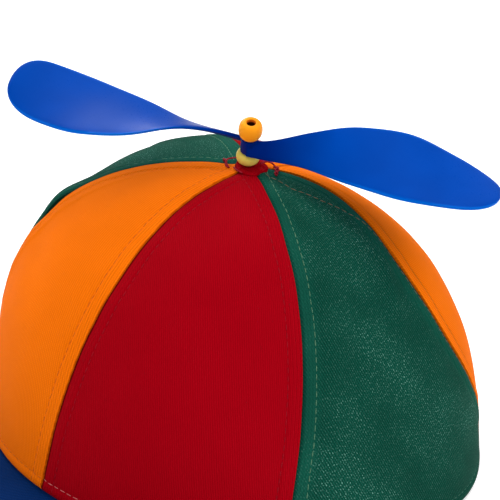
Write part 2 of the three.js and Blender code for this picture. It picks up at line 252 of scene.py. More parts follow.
@dataclass(frozen=True)
class CrownForm:
    """The crown's sewn form, with the sizes and tables that the part's source has."""

    radius: float = 91.0
    height: float = 101.2
    lean: float = 5.2
    sway: tuple[float, float] = (-3.6, -0.1)
    wander: float = 0.02
    cloth: float = 1.8
    puff: float = 1.2
    puff_inwards: float = 0.5
    piece_gap: float = 0.35
    nub_height: float = 2.5
    nub_radius: float = 4.5
    hole_radius: float = 4.05
    spindle_offset: tuple[float, float] = (-1.0, -1.1)
    rim_fade: tuple[float, float] = (64.0, 120.0)
    peak: PeakForm = PeakForm()
    meridians: tuple[Meridian, ...] = (
        Meridian(0, 0.9, 0.75, -0.11),
        Meridian(45, 0.84, 0.63, -0.15),
        Meridian(90, 1.06, 0.64, -0.23),
        Meridian(135, 1.01, 0.77, -0.07),
        Meridian(180, 1.0, 0.84, -0.12),
        Meridian(225, 0.84, 0.61, 0.05),
        Meridian(270, 0.75, 0.6, -0.01),
        Meridian(315, 1.03, 0.58, 0.0),
    )
    seams: tuple[Seam, ...] = (
        Seam(2, 3, 0),
        Seam(60, 62, 55),
        Seam(149, 117, 140),
        Seam(190, 183, 180),
        Seam(232, 240, 238),
        Seam(299, 306, 312),
    )

    def meridian(self, column: str, azimuth: np.ndarray) -> np.ndarray:
        """A meridian column at any azimuth, round and round.

        Args:
            column: fullness, rise or turn.
            azimuth: degrees from the front.

        Returns:
            The column's value at each azimuth.
        """
        values = np.array([getattr(row, column) for row in self.meridians])
        count = len(values)
        place = np.mod(azimuth, 360.0) / 360.0 * count
        row = np.floor(place).astype(int)
        before, here, after, beyond = (values[(row + step) % count] for step in (-1, 0, 1, 2))
        return cubic(before, here, after, beyond, place - row)

    def seam_azimuth(self, index: int, share: np.ndarray) -> np.ndarray:
        """The azimuth of a seam.

        Args:
            index: the seam's place from the front seam round, which may go past the last one.
            share: 0 at the apex and 1 at the rim.

        Returns:
            Degrees from the front.
        """
        seam = self.seams[index % len(self.seams)]
        straight = seam.top + (seam.rim - seam.top) * share
        bow = seam.middle - (seam.top + seam.rim) / 2.0
        return straight + 4.0 * bow * share * (1.0 - share) + 360.0 * (index // len(self.seams))

    def front_height(self) -> float:
        """The front rim's height, at which the peak's lowest corners stand on the surface.

        Returns:
            The height in millimetres.
        """
        u = np.linspace(-1.0, 1.0, self.peak.outline_steps + 1)
        x, y = self.peak.outer_edge(u, self.radius)
        deepest = float(np.max(self.peak.fall(x, y, self.radius)))
        return deepest + self.peak.thickness + self.piece_gap

    def rim_height(self, azimuth: np.ndarray, x: np.ndarray, y: np.ndarray) -> np.ndarray:
        """The height of the crown's lower edge, which rises over the peak.

        Args:
            azimuth: degrees from the front.
            x: the rim's place to the side.
            y: the rim's place to the back.

        Returns:
            The height at each place.
        """
        away = np.abs(np.mod(azimuth + 180.0, 360.0) - 180.0)
        fade = 1.0 - smoothstep(away, *self.rim_fade)
        return (self.front_height() - self.peak.fall(x, y, self.radius)) * fade

    def leaned(self, x: np.ndarray, y: np.ndarray, z: np.ndarray) -> np.ndarray:
        """Leans points of the upright crown backwards and lifts them, so that its back stands at 0."""
        c, s = math.cos(math.radians(self.lean)), math.sin(math.radians(self.lean))
        return np.stack(np.broadcast_arrays(x, c * y + s * z, -s * y + c * z + self.radius * s), -1)

    def point(self, azimuth: np.ndarray, share: np.ndarray, puff: np.ndarray) -> np.ndarray:
        """Points of the crown's outer face.

        Args:
            azimuth: degrees from the front.
            share: 0 at the apex and 1 at the rim.
            puff: how far each point stands out.

        Returns:
            Points in the hat's own frame.
        """
        angle = np.radians(azimuth)
        fullness, rise = self.meridian("fullness", azimuth), self.meridian("rise", azimuth)
        end = math.pi / 2.0 * (1.0 + self.meridian("turn", azimuth))
        sweep = end * share

        def height(value: np.ndarray) -> np.ndarray:
            """The shoulder's height at a sweep."""
            return np.sign(np.cos(value)) * np.abs(np.cos(value)) ** rise

        up = (height(sweep) - height(end)) / (1.0 - height(end))
        widest = self.radius * (1.0 + self.wander * np.cos(3.0 * angle))
        radius = widest * np.sin(sweep) ** fullness + puff
        rim = widest * np.sin(end) ** fullness
        rim_x, rim_y = rim * np.sin(angle), -rim * np.cos(angle)
        c, s = math.cos(math.radians(self.lean)), math.sin(math.radians(self.lean))
        rim_lift = (self.rim_height(azimuth, rim_x, rim_y) - self.radius * s + s * rim_y) / c
        nub = self.nub_height * hill(radius, self.nub_radius)
        x = radius * np.sin(angle) + self.sway[0] * up
        y = -radius * np.cos(angle) + self.sway[1] * up
        return self.leaned(x, y, self.height * up + rim_lift * (1.0 - up) + nub)

    def share_at_radius(self, azimuth: np.ndarray, distance: float | np.ndarray) -> np.ndarray:
        """The share of a meridian at which the crown is a given distance from its axis.

        Args:
            azimuth: degrees from the front.
            distance: millimetres from the crown's axis.

        Returns:
            The share, 0 at the apex and 1 at the rim.
        """
        end = math.pi / 2.0 * (1.0 + self.meridian("turn", azimuth))
        sine = (distance / self.radius) ** (1.0 / self.meridian("fullness", azimuth))
        return np.arcsin(sine) / end

    def near_apex(self, azimuth: np.ndarray, distance: np.ndarray, lift: np.ndarray) -> np.ndarray:
        """Points a lift above the cloth, at a distance from the crown's own axis.

        Args:
            azimuth: degrees from the front.
            distance: millimetres from the crown's axis.
            lift: millimetres straight up from the cloth.

        Returns:
            Points in the hat's own frame.
        """
        share = self.share_at_radius(azimuth, distance)
        upwards = np.array([0.0, math.sin(math.radians(self.lean)), math.cos(math.radians(self.lean))])
        return self.point(azimuth, share, np.zeros_like(azimuth)) + lift[..., None] * upwards

    def spindle_base(self) -> np.ndarray:
        """The middle of the cloth at the apex, where the spindle comes through."""
        apex = self.leaned(self.sway[0], self.sway[1], self.height + self.nub_height)
        return apex + np.array([*self.spindle_offset, -self.cloth / 2.0])


@dataclass(frozen=True)
class Placing:
    """Where the hat's own frame and the spindle lie in the frame of the part."""

    shift: np.ndarray
    spindle: Vector
    axis: Vector

    @staticmethod
    def from_joint(joint: dict, form: CrownForm) -> Placing:
        """Reads the places off the propeller's joint, whose point is the middle of the cloth.

        Args:
            joint: the joint that the propeller spins on.
            form: the crown's form.

        Returns:
            The placing.
        """
        pivot = Vector(joint["pos_m"])
        return Placing(np.array(pivot) / MM - form.spindle_base(), pivot, Vector(joint["axis"]).normalized())

    def crown(self, points: np.ndarray) -> np.ndarray:
        """Moves points of the hat's own frame, in millimetres, into the part's, in metres."""
        return (points + self.shift) * MM

    def stack(self, height: float = 0.0) -> Matrix:
        """The spindle's frame, moved a height in millimetres along its axis."""
        turn = Vector((0.0, 0.0, 1.0)).rotation_difference(self.axis).to_matrix().to_4x4()
        return Matrix.Translation(self.spindle + self.axis * height * MM) @ turn


class Graph:
    """A material's node tree, with short calls to add and link nodes."""

    def __init__(self, name: str) -> None:
        """Makes a material with its principled shader.

        Args:
            name: the material's name.
        """
        self.material = bpy.data.materials.new(name)
        self.material.use_nodes = True
        self.tree = self.material.node_tree
        self.shader = self.tree.nodes["Principled BSDF"]

    def add(self, kind: str, inputs: dict | None = None, **settings: object) -> bpy.types.Node:
        """Adds a node.

        Args:
            kind: the node's type, without its ShaderNode prefix.
            inputs: values or sockets by input name or number.
            settings: properties of the node.

        Returns:
            The node.
        """
        node = self.tree.nodes.new("ShaderNode" + kind)
        for key, value in settings.items():
            setattr(node, key, value)
        self.feed(node, inputs or {})
        return node

    def feed(self, node: bpy.types.Node, inputs: dict) -> None:
        """Sets or links inputs of a node.

        Args:
            node: takes the values.
            inputs: values or sockets by input name or number.
        """
        for key, value in inputs.items():
            if isinstance(value, bpy.types.NodeSocket):
                self.tree.links.new(value, node.inputs[key])
            else:
                node.inputs[key].default_value = value

    def mix(self, factor: object, first: object, second: object, blend: str = "MIX") -> bpy.types.NodeSocket:
        """Mixes two colours.

        Args:
            factor: a number or socket.
            first: the colour or socket at 0.
            second: the colour or socket at 1.
            blend: the blend type.

        Returns:
            The mixed colour's socket.
        """
        node = self.add("Mix", {0: factor, 6: first, 7: second}, data_type="RGBA", blend_type=blend)
        return node.outputs[2]

    def ranged(self, value: bpy.types.NodeSocket, low: float, high: float,
               to_low: float = 0.0, to_high: float = 1.0) -> bpy.types.NodeSocket:
        """Maps a value from one range to another, held at its ends."""
        node = self.add("MapRange", {0: value, 1: low, 2: high, 3: to_low, 4: to_high})
        return node.outputs[0]

    def drift(self, value: bpy.types.NodeSocket, first: Colour, second: Colour) -> bpy.types.NodeSocket:
        """Drifts from one colour to another as a noise goes through its middle."""
        return self.mix(self.ranged(value, *NARROW), opaque(first), opaque(second))

    def times(self, first: bpy.types.NodeSocket, second: object) -> bpy.types.NodeSocket:
        """Multiplies a value by a number or another value."""
        return self.add("Math", {0: first, 1: second}, operation="MULTIPLY").outputs[0]

    def times_plus(self, first: bpy.types.NodeSocket, factor: float,
                   added: bpy.types.NodeSocket) -> bpy.types.NodeSocket:
        """Multiplies a value by a number and adds another value."""
        return self.add("Math", {0: first, 1: factor, 2: added}, operation="MULTIPLY_ADD").outputs[0]

    def attribute(self, name: str) -> bpy.types.NodeSocket:
        """A number that the mesh carries at each point."""
        return self.add("Attribute", attribute_name=name).outputs["Fac"]

    def noise(self, coordinates: bpy.types.NodeSocket, scale: float, detail: float) -> bpy.types.NodeSocket:
        """Noise whose bumps are 1 / scale metres apart."""
        node = self.add("TexNoise", {"Vector": coordinates, "Scale": scale, "Detail": detail})
        return node.outputs[0]


@dataclass(frozen=True)
class Twill:
    """Cotton twill, with ribs at an angle to the cut piece's middle line.

    The cloth's UV map is its flat lie in metres, and its attribute beside_seam is the distance from
    the nearest seam in millimetres. Its seam-shade attribute is 1 where shade is painted under a lap,
    and it carries the painted shade of a stitched furrow too. Seam ridges are the fine lines that the
    folded allowances press into the cloth beside a seam. WAVE_TURN is the scale at which the bands
    of a Wave Texture lie a metre apart.
    """

    name: str
    base: Colour
    # rib is the darker colour painted into the hollows between the ribs, as their shade.
    rib: Colour
    lint: Colour
    rib_angle: float
    rib_spacing: float = 0.75
    rib_contrast: float = 0.5
    yarn_break: float = 0.35
    lint_amount: float = 0.3
    tone: float = 0.08
    ridge_spacing: float = 1.3
    ridge_reach: float = 5.2
    # How dark the painted shade under a lap makes the cloth.
    painted_shade_level: float = 0.3
    edge_calm: float = 1.0
    relief: float = 0.5

    WAVE_TURN = 2.0 * math.pi / 20.0
    YARN_TURN = 64.0
    YARN_FINENESS = 1.2
    FIBRE_SCALE = 2400.0
    LINT_SCALE = 1500.0
    CLOUD_SCALE = 26.0
    FIBRE_HEIGHT = 0.3
    RIDGE_HEIGHT = 0.5
    BUMP_DEPTH = 0.16 * MM
    CALM_FADE = (-0.7, 2.5)
    HOLLOW_RANGE = (0.15, 0.95)
    LINT_RANGE = (0.54, 0.66)
    PATCH_RANGE = (0.42, 0.58)
    BETWEEN_PATCHES = 0.25
    RIB_RANGE = (0.5, 1.0)
    OFF_RIBS = 0.15
    RIDGE_SHADE = (0.93, 1.05)
    ROUGHNESS = (0.78, 0.95)
    SPECULAR = 0.06
    SHEEN = 0.04
    SHEEN_ROUGHNESS = 0.5

    def rows(self, g: Graph, uv: bpy.types.NodeSocket, turn: float, fineness: float, bend: float,
             bend_scale: float) -> bpy.types.NodeSocket:
        """Parallel rows of yarn.

        Args:
            g: the material's graph.
            uv: the cloth's flat lie.
            turn: how far the rows are turned, in degrees.
            fineness: how many of these rows go to one rib.
            bend: how much the rows wander.
            bend_scale: how finely they wander.

        Returns:
            A value from 0 between the rows to 1 on them.
        """
        turned = g.add("Mapping", {"Vector": uv, "Rotation": (0.0, 0.0, math.radians(turn))})
        scale = self.WAVE_TURN / (self.rib_spacing * MM) * fineness
        wave = g.add("TexWave", {"Vector": turned.outputs[0], "Scale": scale, "Distortion": bend,
                                 "Detail": 2.0, "Detail Scale": bend_scale})
        return wave.outputs["Fac"]

    def weave(self, g: Graph, uv: bpy.types.NodeSocket) -> bpy.types.NodeSocket:
        """Ribs broken by the crossing yarn.

        Args:
            g: the material's graph.
            uv: the cloth's flat lie.

        Returns:
            A value from 0 in the hollows to about 1.3 on the ribs.
        """
        ribs = self.rows(g, uv, self.rib_angle, 1.0, 1.0, 0.5)
        yarn = self.rows(g, uv, self.rib_angle + self.YARN_TURN, self.YARN_FINENESS, 2.0, 0.8)
        broken = g.ranged(yarn, 0.0, 1.0, 1.0 - self.yarn_break, 1.0 + self.yarn_break)
        return g.times(ribs, broken)

    def ridges(self, g: Graph, beside: bpy.types.NodeSocket) -> bpy.types.NodeSocket:
        """Fine lines along the seams, which fade out at the topstitching.

        Args:
            g: the material's graph.
            beside: the distance from the nearest seam.

        Returns:
            A value between -1 and 1.
        """
        angle = g.times(beside, 2.0 * math.pi / self.ridge_spacing)
        wave = g.add("Math", {0: angle}, operation="SINE").outputs[0]
        return g.times(wave, g.ranged(beside, self.ridge_reach - 1.0, self.ridge_reach, 1.0, 0.0))

    def dye_with_painted_shade(self, g: Graph, uv: bpy.types.NodeSocket, weave: bpy.types.NodeSocket,
             clouds: bpy.types.NodeSocket) -> bpy.types.NodeSocket:
        """The cloth's colour: its ribs, the hollows between them with painted shade, and patches of pale
        lint.

        Args:
            g: the material's graph.
            uv: the cloth's flat lie.
            weave: the height of the weave.
            clouds: the noise that gathers the lint into patches.

        Returns:
            The colour.
        """
        beside = g.attribute("beside_seam")
        fade = [self.ridge_reach + step for step in self.CALM_FADE]
        calm = g.ranged(beside, *fade, self.edge_calm, 1.0)
        # Painted shade: the hollows between the ribs take the darker colour.
        hollows = g.times(g.ranged(weave, *self.HOLLOW_RANGE, self.rib_contrast, 0.0), calm)
        cloth = g.mix(hollows, opaque(self.base), opaque(self.rib))
        lint = g.ranged(g.noise(uv, self.LINT_SCALE, 1.0), *self.LINT_RANGE, 0.0, self.lint_amount)
        lint = g.times(g.times(lint, calm), g.ranged(clouds, *self.PATCH_RANGE, self.BETWEEN_PATCHES, 1.0))
        lint = g.times(lint, g.ranged(weave, *self.RIB_RANGE, self.OFF_RIBS, 1.0))
        return g.mix(lint, cloth, opaque(self.lint))

    def material(self) -> bpy.types.Material:
        """Makes the cloth from ribs, crossing yarn, lint, seam lines, slow changes of tone and painted shade.

        Returns:
            The material.
        """
        g = Graph(self.name)
        uv = g.add("TexCoord").outputs["UV"]
        weave = self.weave(g, uv)
        ridges = self.ridges(g, g.attribute("beside_seam"))
        fibres = g.noise(uv, self.FIBRE_SCALE, 3.0)
        clouds = g.noise(uv, self.CLOUD_SCALE, 3.0)
        shade = g.ranged(clouds, *WIDE, 1.0 - self.tone, 1.0 + self.tone)
        shade = g.times(shade, g.ranged(ridges, -1.0, 1.0, *self.RIDGE_SHADE))
        # Painted shade under the laps and along shaded stitched furrows.
        shade = g.times(shade, g.ranged(g.attribute("painted_seam_shade"), 0.0, 1.0, 1.0, self.painted_shade_level))
        grey = g.add("CombineColor", {0: shade, 1: shade, 2: shade}).outputs[0]
        height = g.times_plus(fibres, self.FIBRE_HEIGHT, weave)
        height = g.times_plus(ridges, self.RIDGE_HEIGHT, height)
        bump = g.add("Bump", {"Height": height, "Distance": self.BUMP_DEPTH, "Strength": self.relief})
        g.feed(g.shader, {
            "Base Color": g.mix(1.0, self.dye_with_painted_shade(g, uv, weave, clouds), grey, "MULTIPLY"),
            "Roughness": g.ranged(fibres, *WIDE, *self.ROUGHNESS),
            "Specular IOR Level": self.SPECULAR,
            "Specular Tint": opaque(self.base),
            "Sheen Weight": self.SHEEN,
            "Sheen Roughness": self.SHEEN_ROUGHNESS,
            "Sheen Tint": opaque(self.base),
            "Normal": bump.outputs[0],
        })
        return g.material


@dataclass(frozen=True)
class Plastic:
    """A glossy moulding with a faint skin of unevenness."""

    name: str
    base: Colour
    deep: Colour
    roughness: float = 0.3
    gloss: float = 0.2
    glow: float = 0.05
    grain: float = 260.0

    SLOWNESS = 0.25
    FINENESS = 6.0
    ROUGHNESS_SPREAD = (0.8, 1.25)
    BUMP_DEPTH = 0.2 * MM
    BUMP_STRENGTH = 0.2
    GLOW_DEPTH = 2.0 * MM
    GLOW_COLOURS = (0.6, 0.8, 1.0)

    def tone(self, g: Graph, slow: bpy.types.NodeSocket) -> bpy.types.NodeSocket:
        """The plastic's colour, which drifts between its two tones."""
        return g.drift(slow, self.base, self.deep)

    def material(self) -> bpy.types.Material:
        """Makes the plastic from two tones, a fine roughness and a soft bump.

        Returns:
            The material.
        """
        g = Graph(self.name)
        place = g.add("TexCoord").outputs["Object"]
        slow = g.noise(place, self.grain * self.SLOWNESS, 2.0)
        fine = g.noise(place, self.grain * self.FINENESS, 3.0)
        roughness = [self.roughness * share for share in self.ROUGHNESS_SPREAD]
        bump = g.add("Bump", {"Height": slow, "Distance": self.BUMP_DEPTH, "Strength": self.BUMP_STRENGTH})
        g.feed(g.shader, {
            "Base Color": self.tone(g, slow),
            "Roughness": g.ranged(fine, *WIDE, *roughness),
            "Specular IOR Level": self.gloss,
            "Specular Tint": opaque(self.base),
            "Subsurface Weight": self.glow,
            "Subsurface Radius": self.GLOW_COLOURS,
            "Subsurface Scale": self.GLOW_DEPTH,
            "Normal": bump.outputs[0],
        })
        return g.material


@dataclass(frozen=True)
class BeadPlastic(Plastic):
    """A bead's plastic, with painted light at the mouth of its bore and painted shade deep inside it, where
    its attribute bore is 1.
    """

    # mouth: painted warm light, bounced round the mouth of the bore.
    mouth: Colour = (0.85, 0.2, 0.012)
    # inside: painted shade deep in the bore.
    inside: Colour = (0.03, 0.008, 0.003)

    MOUTH_RANGE = (0.05, 0.25)
    INSIDE_RANGE = (0.42, 0.62)

    def tone(self, g: Graph, slow: bpy.types.NodeSocket) -> bpy.types.NodeSocket:
        """The bead's colour outside, with painted bounced light at the mouth of its bore and painted shade
        deep inside.

        Args:
            g: the material's graph.
            slow: the noise that the colour drifts with.

        Returns:
            The colour.
        """
        bore = g.attribute("bore")
        skin = super().tone(g, slow)
        # Painted bounced light at the bore's mouth, then painted shade deeper in.
        with_painted_bounce = g.mix(g.ranged(bore, *self.MOUTH_RANGE), skin, opaque(self.mouth))
        return g.mix(g.ranged(bore, *self.INSIDE_RANGE), with_painted_bounce, opaque(self.inside))


@dataclass(frozen=True)
class BladePlastic(Plastic):
    """The propeller's blue, with painted shade at the hub and painted light along the blades' thin rims.

    It reads two attributes of the moulding: reach, the share of the span, and edge, from 0 in the
    middle of a blade's width to 1 at its rims.
    """

    # Painted shade near the hub.
    painted_hub_shade: Colour = (0.0, 0.015, 0.17)
    # rim: painted light along the blades' thin rims.
    rim: Colour = (0.0, 0.16, 0.7)

    ROOT_RANGE = (0.03, 0.3)
    RIM_RANGE = (0.9, 0.99)
    RIM_STRENGTH = 0.6
    RIM_START = (0.2, 0.45)

    def tone(self, g: Graph, slow: bpy.types.NodeSocket) -> bpy.types.NodeSocket:
        """The blade's colour from hub to tip and from middle to rim: painted shade at the hub, painted light
        at the rims.

        Args:
            g: the material's graph.
            slow: the noise that the colour drifts with.

        Returns:
            The colour.
        """
        reach = g.attribute("reach")
        # Painted shade darkens the blade towards the hub.
        near_hub = g.ranged(reach, *self.ROOT_RANGE, 1.0, 0.0)
        body = g.mix(near_hub, super().tone(g, slow), opaque(self.painted_hub_shade))
        # Painted light along the blades' thin rims, fading in away from the hub.
        rim = g.ranged(g.attribute("edge"), *self.RIM_RANGE, 0.0, self.RIM_STRENGTH)
        return g.mix(g.times(rim, g.ranged(reach, *self.RIM_START)), body, opaque(self.rim))


@dataclass(frozen=True)
class Thread:
    """Sewing thread: its colour and its twist."""

    name: str
    base: Colour
    dark: Colour

    TWIST_SCALE = 2200.0
    ROUGHNESS = (0.6, 0.8)
    SPECULAR = 0.12
    BUMP_DEPTH = 0.1 * MM
    BUMP_STRENGTH = 0.5

    def material(self) -> bpy.types.Material:
        """Makes the thread from two tones that follow its twist.

        Returns:
            The material.
        """
        g = Graph(self.name)
        place = g.add("TexCoord").outputs["Object"]
        twist = g.noise(place, self.TWIST_SCALE, 2.0)
        bump = g.add("Bump", {"Height": twist, "Distance": self.BUMP_DEPTH, "Strength": self.BUMP_STRENGTH})
        g.feed(g.shader, {
            "Base Color": g.drift(twist, self.base, self.dark),
            "Roughness": g.ranged(twist, *WIDE, *self.ROUGHNESS),
            "Specular IOR Level": self.SPECULAR,
            "Normal": bump.outputs[0],
        })
        return g.material


@dataclass(frozen=True)
class Fold:
    """One soft crease of a panel.

    across is from -1 at the first seam to 1 at the last, and up is the share of the way from the rim
    to the apex. angle is from the panel's middle line, in degrees.
    """

    across: float
    up: float
    length: float
    width: float
    depth: float
    angle: float = 0.0


def finished(name: str, bm: bmesh.types.BMesh, materials: list[bpy.types.Material]) -> bpy.types.Object:
    """Makes an object of a bmesh, smoothly shaded, at the origin.

    Args:
        name: the object's name.
        bm: the shape, which is freed.
        materials: its material slots.

    Returns:
        The object, linked to the scene.
    """
    mesh = bpy.data.meshes.new(name)
    bm.to_mesh(mesh)
    bm.free()
    for material in materials:
        mesh.materials.append(material)
    mesh.shade_smooth()
    piece = bpy.data.objects.new(name, mesh)
    bpy.context.scene.collection.objects.link(piece)
    return piece


def reported(piece: bpy.types.Object, body: str, slot: str, *nodes: str) -> bpy.types.Object:
    """Ties a finished piece to its body and hides the nodes that it stands for.

    Args:
        piece: the finished object.
        body: the body that it rides on.
        slot: the record's material slot; not used.
        nodes: the CAD nodes that it replaces.

    Returns:
        The piece.
    """
    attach(piece, body)
    if nodes:
        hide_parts(*nodes)
    LOG.info("%s rides on %s", piece.name, body)
    return piece


def drawn_out(bm: bmesh.types.BMesh, rings: list[list[Vector]], capped: bool) -> None:
    """Draws one closed ring out through all the others.

    Args:
        bm: takes the skin.
        rings: the corners of each ring in order, in metres.
        capped: whether both ends are closed.
    """
    ring = bmesh.ops.create_circle(bm, segments=len(rings[0]), radius=1.0)["verts"]
    ring.sort(key=lambda v: math.atan2(v.co.y, v.co.x) % (2.0 * math.pi))
    for corner, spot in zip(ring, rings[0]):
        corner.co = spot
    start = set(ring)
    edges = [e for e in bm.edges if start.issuperset(e.verts)]
    if capped:
        bmesh.ops.contextual_create(bm, geom=edges)
    for spots in rings[1:]:
        made = bmesh.ops.extrude_edge_only(bm, edges=edges)["geom"]
        fresh = {v for v in made if isinstance(v, bmesh.types.BMVert)}
        edges = [e for e in made if isinstance(e, bmesh.types.BMEdge) and fresh.issuperset(e.verts)]
        ring = [next(e.other_vert(v) for e in v.link_edges if e.other_vert(v) in fresh) for v in ring]
        for corner, spot in zip(ring, spots):
            corner.co = spot
    if capped:
        bmesh.ops.contextual_create(bm, geom=edges)


@dataclass(frozen=True)
class Stitching:
    """One kind of stitch, a slim grain of thread that is laid again and again along a path.

    pitch is from one stitch to the next. wobble is how far a stitch may stray from the path's
    direction, as a slope.
    """

    pitch: float = 2.7
    fill: float = 0.8
    half_width: float = 0.16
    half_height: float = 0.13
    wobble: float = 0.05
    stretch: tuple[float, float] = (0.92, 1.06)
    lift: float = 0.05

    def lay(self, bm: bmesh.types.BMesh, path: np.ndarray, up: np.ndarray, seed: int) -> None:
        """Lays a row of stitches along a path.

        Args:
            bm: takes the stitches.
            path: points on the cloth, in metres.
            up: the cloth's normals there.
            seed: seeds the small unevenness.
        """
        rng = random.Random(seed)
        steps = np.linalg.norm(np.diff(path, axis=0), axis=1)
        along = np.concatenate([[0.0], np.cumsum(steps)])
        count = max(1, int(along[-1] / (self.pitch * MM)))
        reach = self.fill / 2.0 * self.pitch * MM
        lengthwise = Matrix.Rotation(math.pi / 2.0, 4, "Y")
        for k in range(count):
            middle = along[-1] * (k + 0.5) / count
            before, here, after = (read_at(middle + side * reach, along, path) for side in (-1, 0, 1))
            normal = Vector(read_at(middle, along, up)).normalized()
            tangent = Vector(after - before)
            length = tangent.length / 2.0
            tangent.normalize()
            side = normal.cross(tangent).normalized()
            tangent = (tangent + side * rng.uniform(-self.wobble, self.wobble)).normalized()
            side = normal.cross(tangent).normalized()
            turn = Matrix((tangent, side, normal)).transposed().to_4x4()
            sizes = (length * rng.uniform(*self.stretch), self.half_width * MM, self.half_height * MM, 1.0)
            spot = Vector(here) + normal * rng.uniform(0.0, self.lift) * MM
            place = Matrix.Translation(spot) @ turn @ Matrix.Diagonal(sizes) @ lengthwise
            bmesh.ops.create_uvsphere(bm, u_segments=8, v_segments=5, radius=1.0, matrix=place)


@dataclass
class CrownPanel:
    """One panel of the crown between two seams, with its laps, topstitching, hem and folds.

    last_row gives the topstitching beside the last seam its own course, as rows of the distance from
    the apex and the distance from the seam. points, lining and normals are grids whose first axis
    runs from the first seam to the last and whose second runs from the apex to the rim, and so do
    from_first and from_rim, the distances from the first seam and from the rim.
    """

    name: str
    first_seam: int
    slot: str
    twill: Twill
    laps: tuple[Lap, Lap]
    neighbours: tuple[str, str]
    folds: tuple[Fold, ...] = ()
    seed: float = 0.0
    columns: int = 112
    rows: int = 130
    crowding: float = 0.86
    rim_crowding: float = 1.25
    seam_gap: float = 0.08
    seam_drift: float = 0.3
    drift_length: float = 16.0
    over_roll: float = 0.12
    over_width: float = 0.25
    under_dip: float = 0.6
    under_width: float = 0.9
    allowance: float = 0.32
    stitch_offset: float = 5.2
    furrow_shade: float = 0.0
    last_row: tuple[tuple[float, float], ...] = ()
    hem: float = 4.2
    slack: float = 0.5
    points: np.ndarray = field(init=False)
    lining: np.ndarray = field(init=False)
    normals: np.ndarray = field(init=False)
    from_first: np.ndarray = field(init=False)
    from_rim: np.ndarray = field(init=False)

    STITCHING = Stitching()
    DRIFT_SEED = 2.5
    SEAMS_APART = 40.0
    STEADY_RADIUS = 12.0
    STEADY_TOP = 0.12
    STEADY_RIM = 0.9
    SLACK_LENGTH = 34.0
    UNEVENNESS = 0.12
    UNEVEN_LENGTH = 9.0
    CALM_WIDTH = 14.0
    FURROW_DEPTH = 0.28
    FURROW_WIDTH = 0.6
    PUCKER_LENGTH = 2.6
    PUCKER_WIDTH = 1.6
    PUCKER_DEPTH = 0.16
    WAVE_LENGTH = 11.0
    WAVE_WIDTH = 9.0
    WAVE_DEPTH = 0.3
    ALLOWANCE_END = (0.8, 1.15)
    UNDER_START = (0.5, 2.5)
    UNDER_SHARE = 0.6
    LAP_CALM = 1.6
    RIM_FADE = 3.0
    FOLD_FADE = 8.0
    HEM_RISE = 0.25
    HEM_END = (-0.6, 0.5)
    HEM_FURROW = 0.3
    HEM_ROLL = 0.7
    ROW_ROOM = 0.6
    ROW_END = 1.0
    LAP_SHADE_WIDTH = 0.75
    STITCH_SHADE_WIDTH = 0.35
    SHARP_ANGLE = 60.0

    def measure(self, form: CrownForm) -> None:
        """Works out the plain panel and how far each point is from its seams and rim.

        Args:
            form: the crown's form.
        """
        t = np.linspace(0.0, 1.0, self.columns + 1)[:, None]
        across = t - self.crowding * np.sin(2.0 * math.pi * t) / (2.0 * math.pi)
        down = 1.0 - (1.0 - np.linspace(0.0, 1.0, self.rows + 1)[None, :]) ** self.rim_crowding
        first = form.seam_azimuth(self.first_seam, down) + self.drift(self.first_seam, down, form)
        last = form.seam_azimuth(self.first_seam + 1, down) + self.drift(self.first_seam + 1, down, form)
        middle = first + (last - first) * across
        start = form.share_at_radius(middle, form.hole_radius)
        along = start + (1.0 - start) * down
        radius = np.maximum(form.radius * np.sin(along * math.pi / 2.0), form.hole_radius)
        trim = np.degrees(self.seam_gap / 2.0 / radius)
        azimuth = first + trim + (last - first - 2.0 * trim) * across
        proud = np.sin(math.pi * across) - form.puff_inwards
        self.points = form.point(azimuth, along, form.puff * proud * np.sin(math.pi * down))
        edge = self.points[:, -1]
        edge[:, 2] = form.rim_height(azimuth[:, -1], edge[:, 0], edge[:, 1])
        self.normals = surface_normals(self.points)
        steps = np.linalg.norm(np.diff(self.points, axis=0), axis=-1)
        self.from_first = np.concatenate([np.zeros((1, self.rows + 1)), np.cumsum(steps, axis=0)])
        steps = np.linalg.norm(np.diff(self.points, axis=1), axis=-1)
        length = np.cumsum(steps[:, ::-1], axis=1)[:, ::-1]
        self.from_rim = np.concatenate([length, np.zeros((self.columns + 1, 1))], axis=1)

    def drift(self, seam: int, down: np.ndarray, form: CrownForm) -> np.ndarray:
        """How far a sewn seam wanders from its line, alike for both its panels.

        Args:
            seam: the seam's place from the front seam round.
            down: shares of the way from the apex to the rim.
            form: the crown's form.

        Returns:
            Degrees at each share.
        """
        length = form.radius * math.pi / 2.0 * down
        apart = np.full_like(down, self.SEAMS_APART * (seam % len(form.seams)))
        line = np.stack([length, apart, np.zeros_like(down)], -1)
        radius = np.maximum(form.radius * np.sin(down * math.pi / 2.0), self.STEADY_RADIUS)
        ends = smoothstep(down, 0.0, self.STEADY_TOP) * (1.0 - smoothstep(down, self.STEADY_RIM, 1.0))
        wander = self.seam_drift * noise_field(line, self.drift_length, self.DRIFT_SEED)
        return np.degrees(wander * ends / radius)

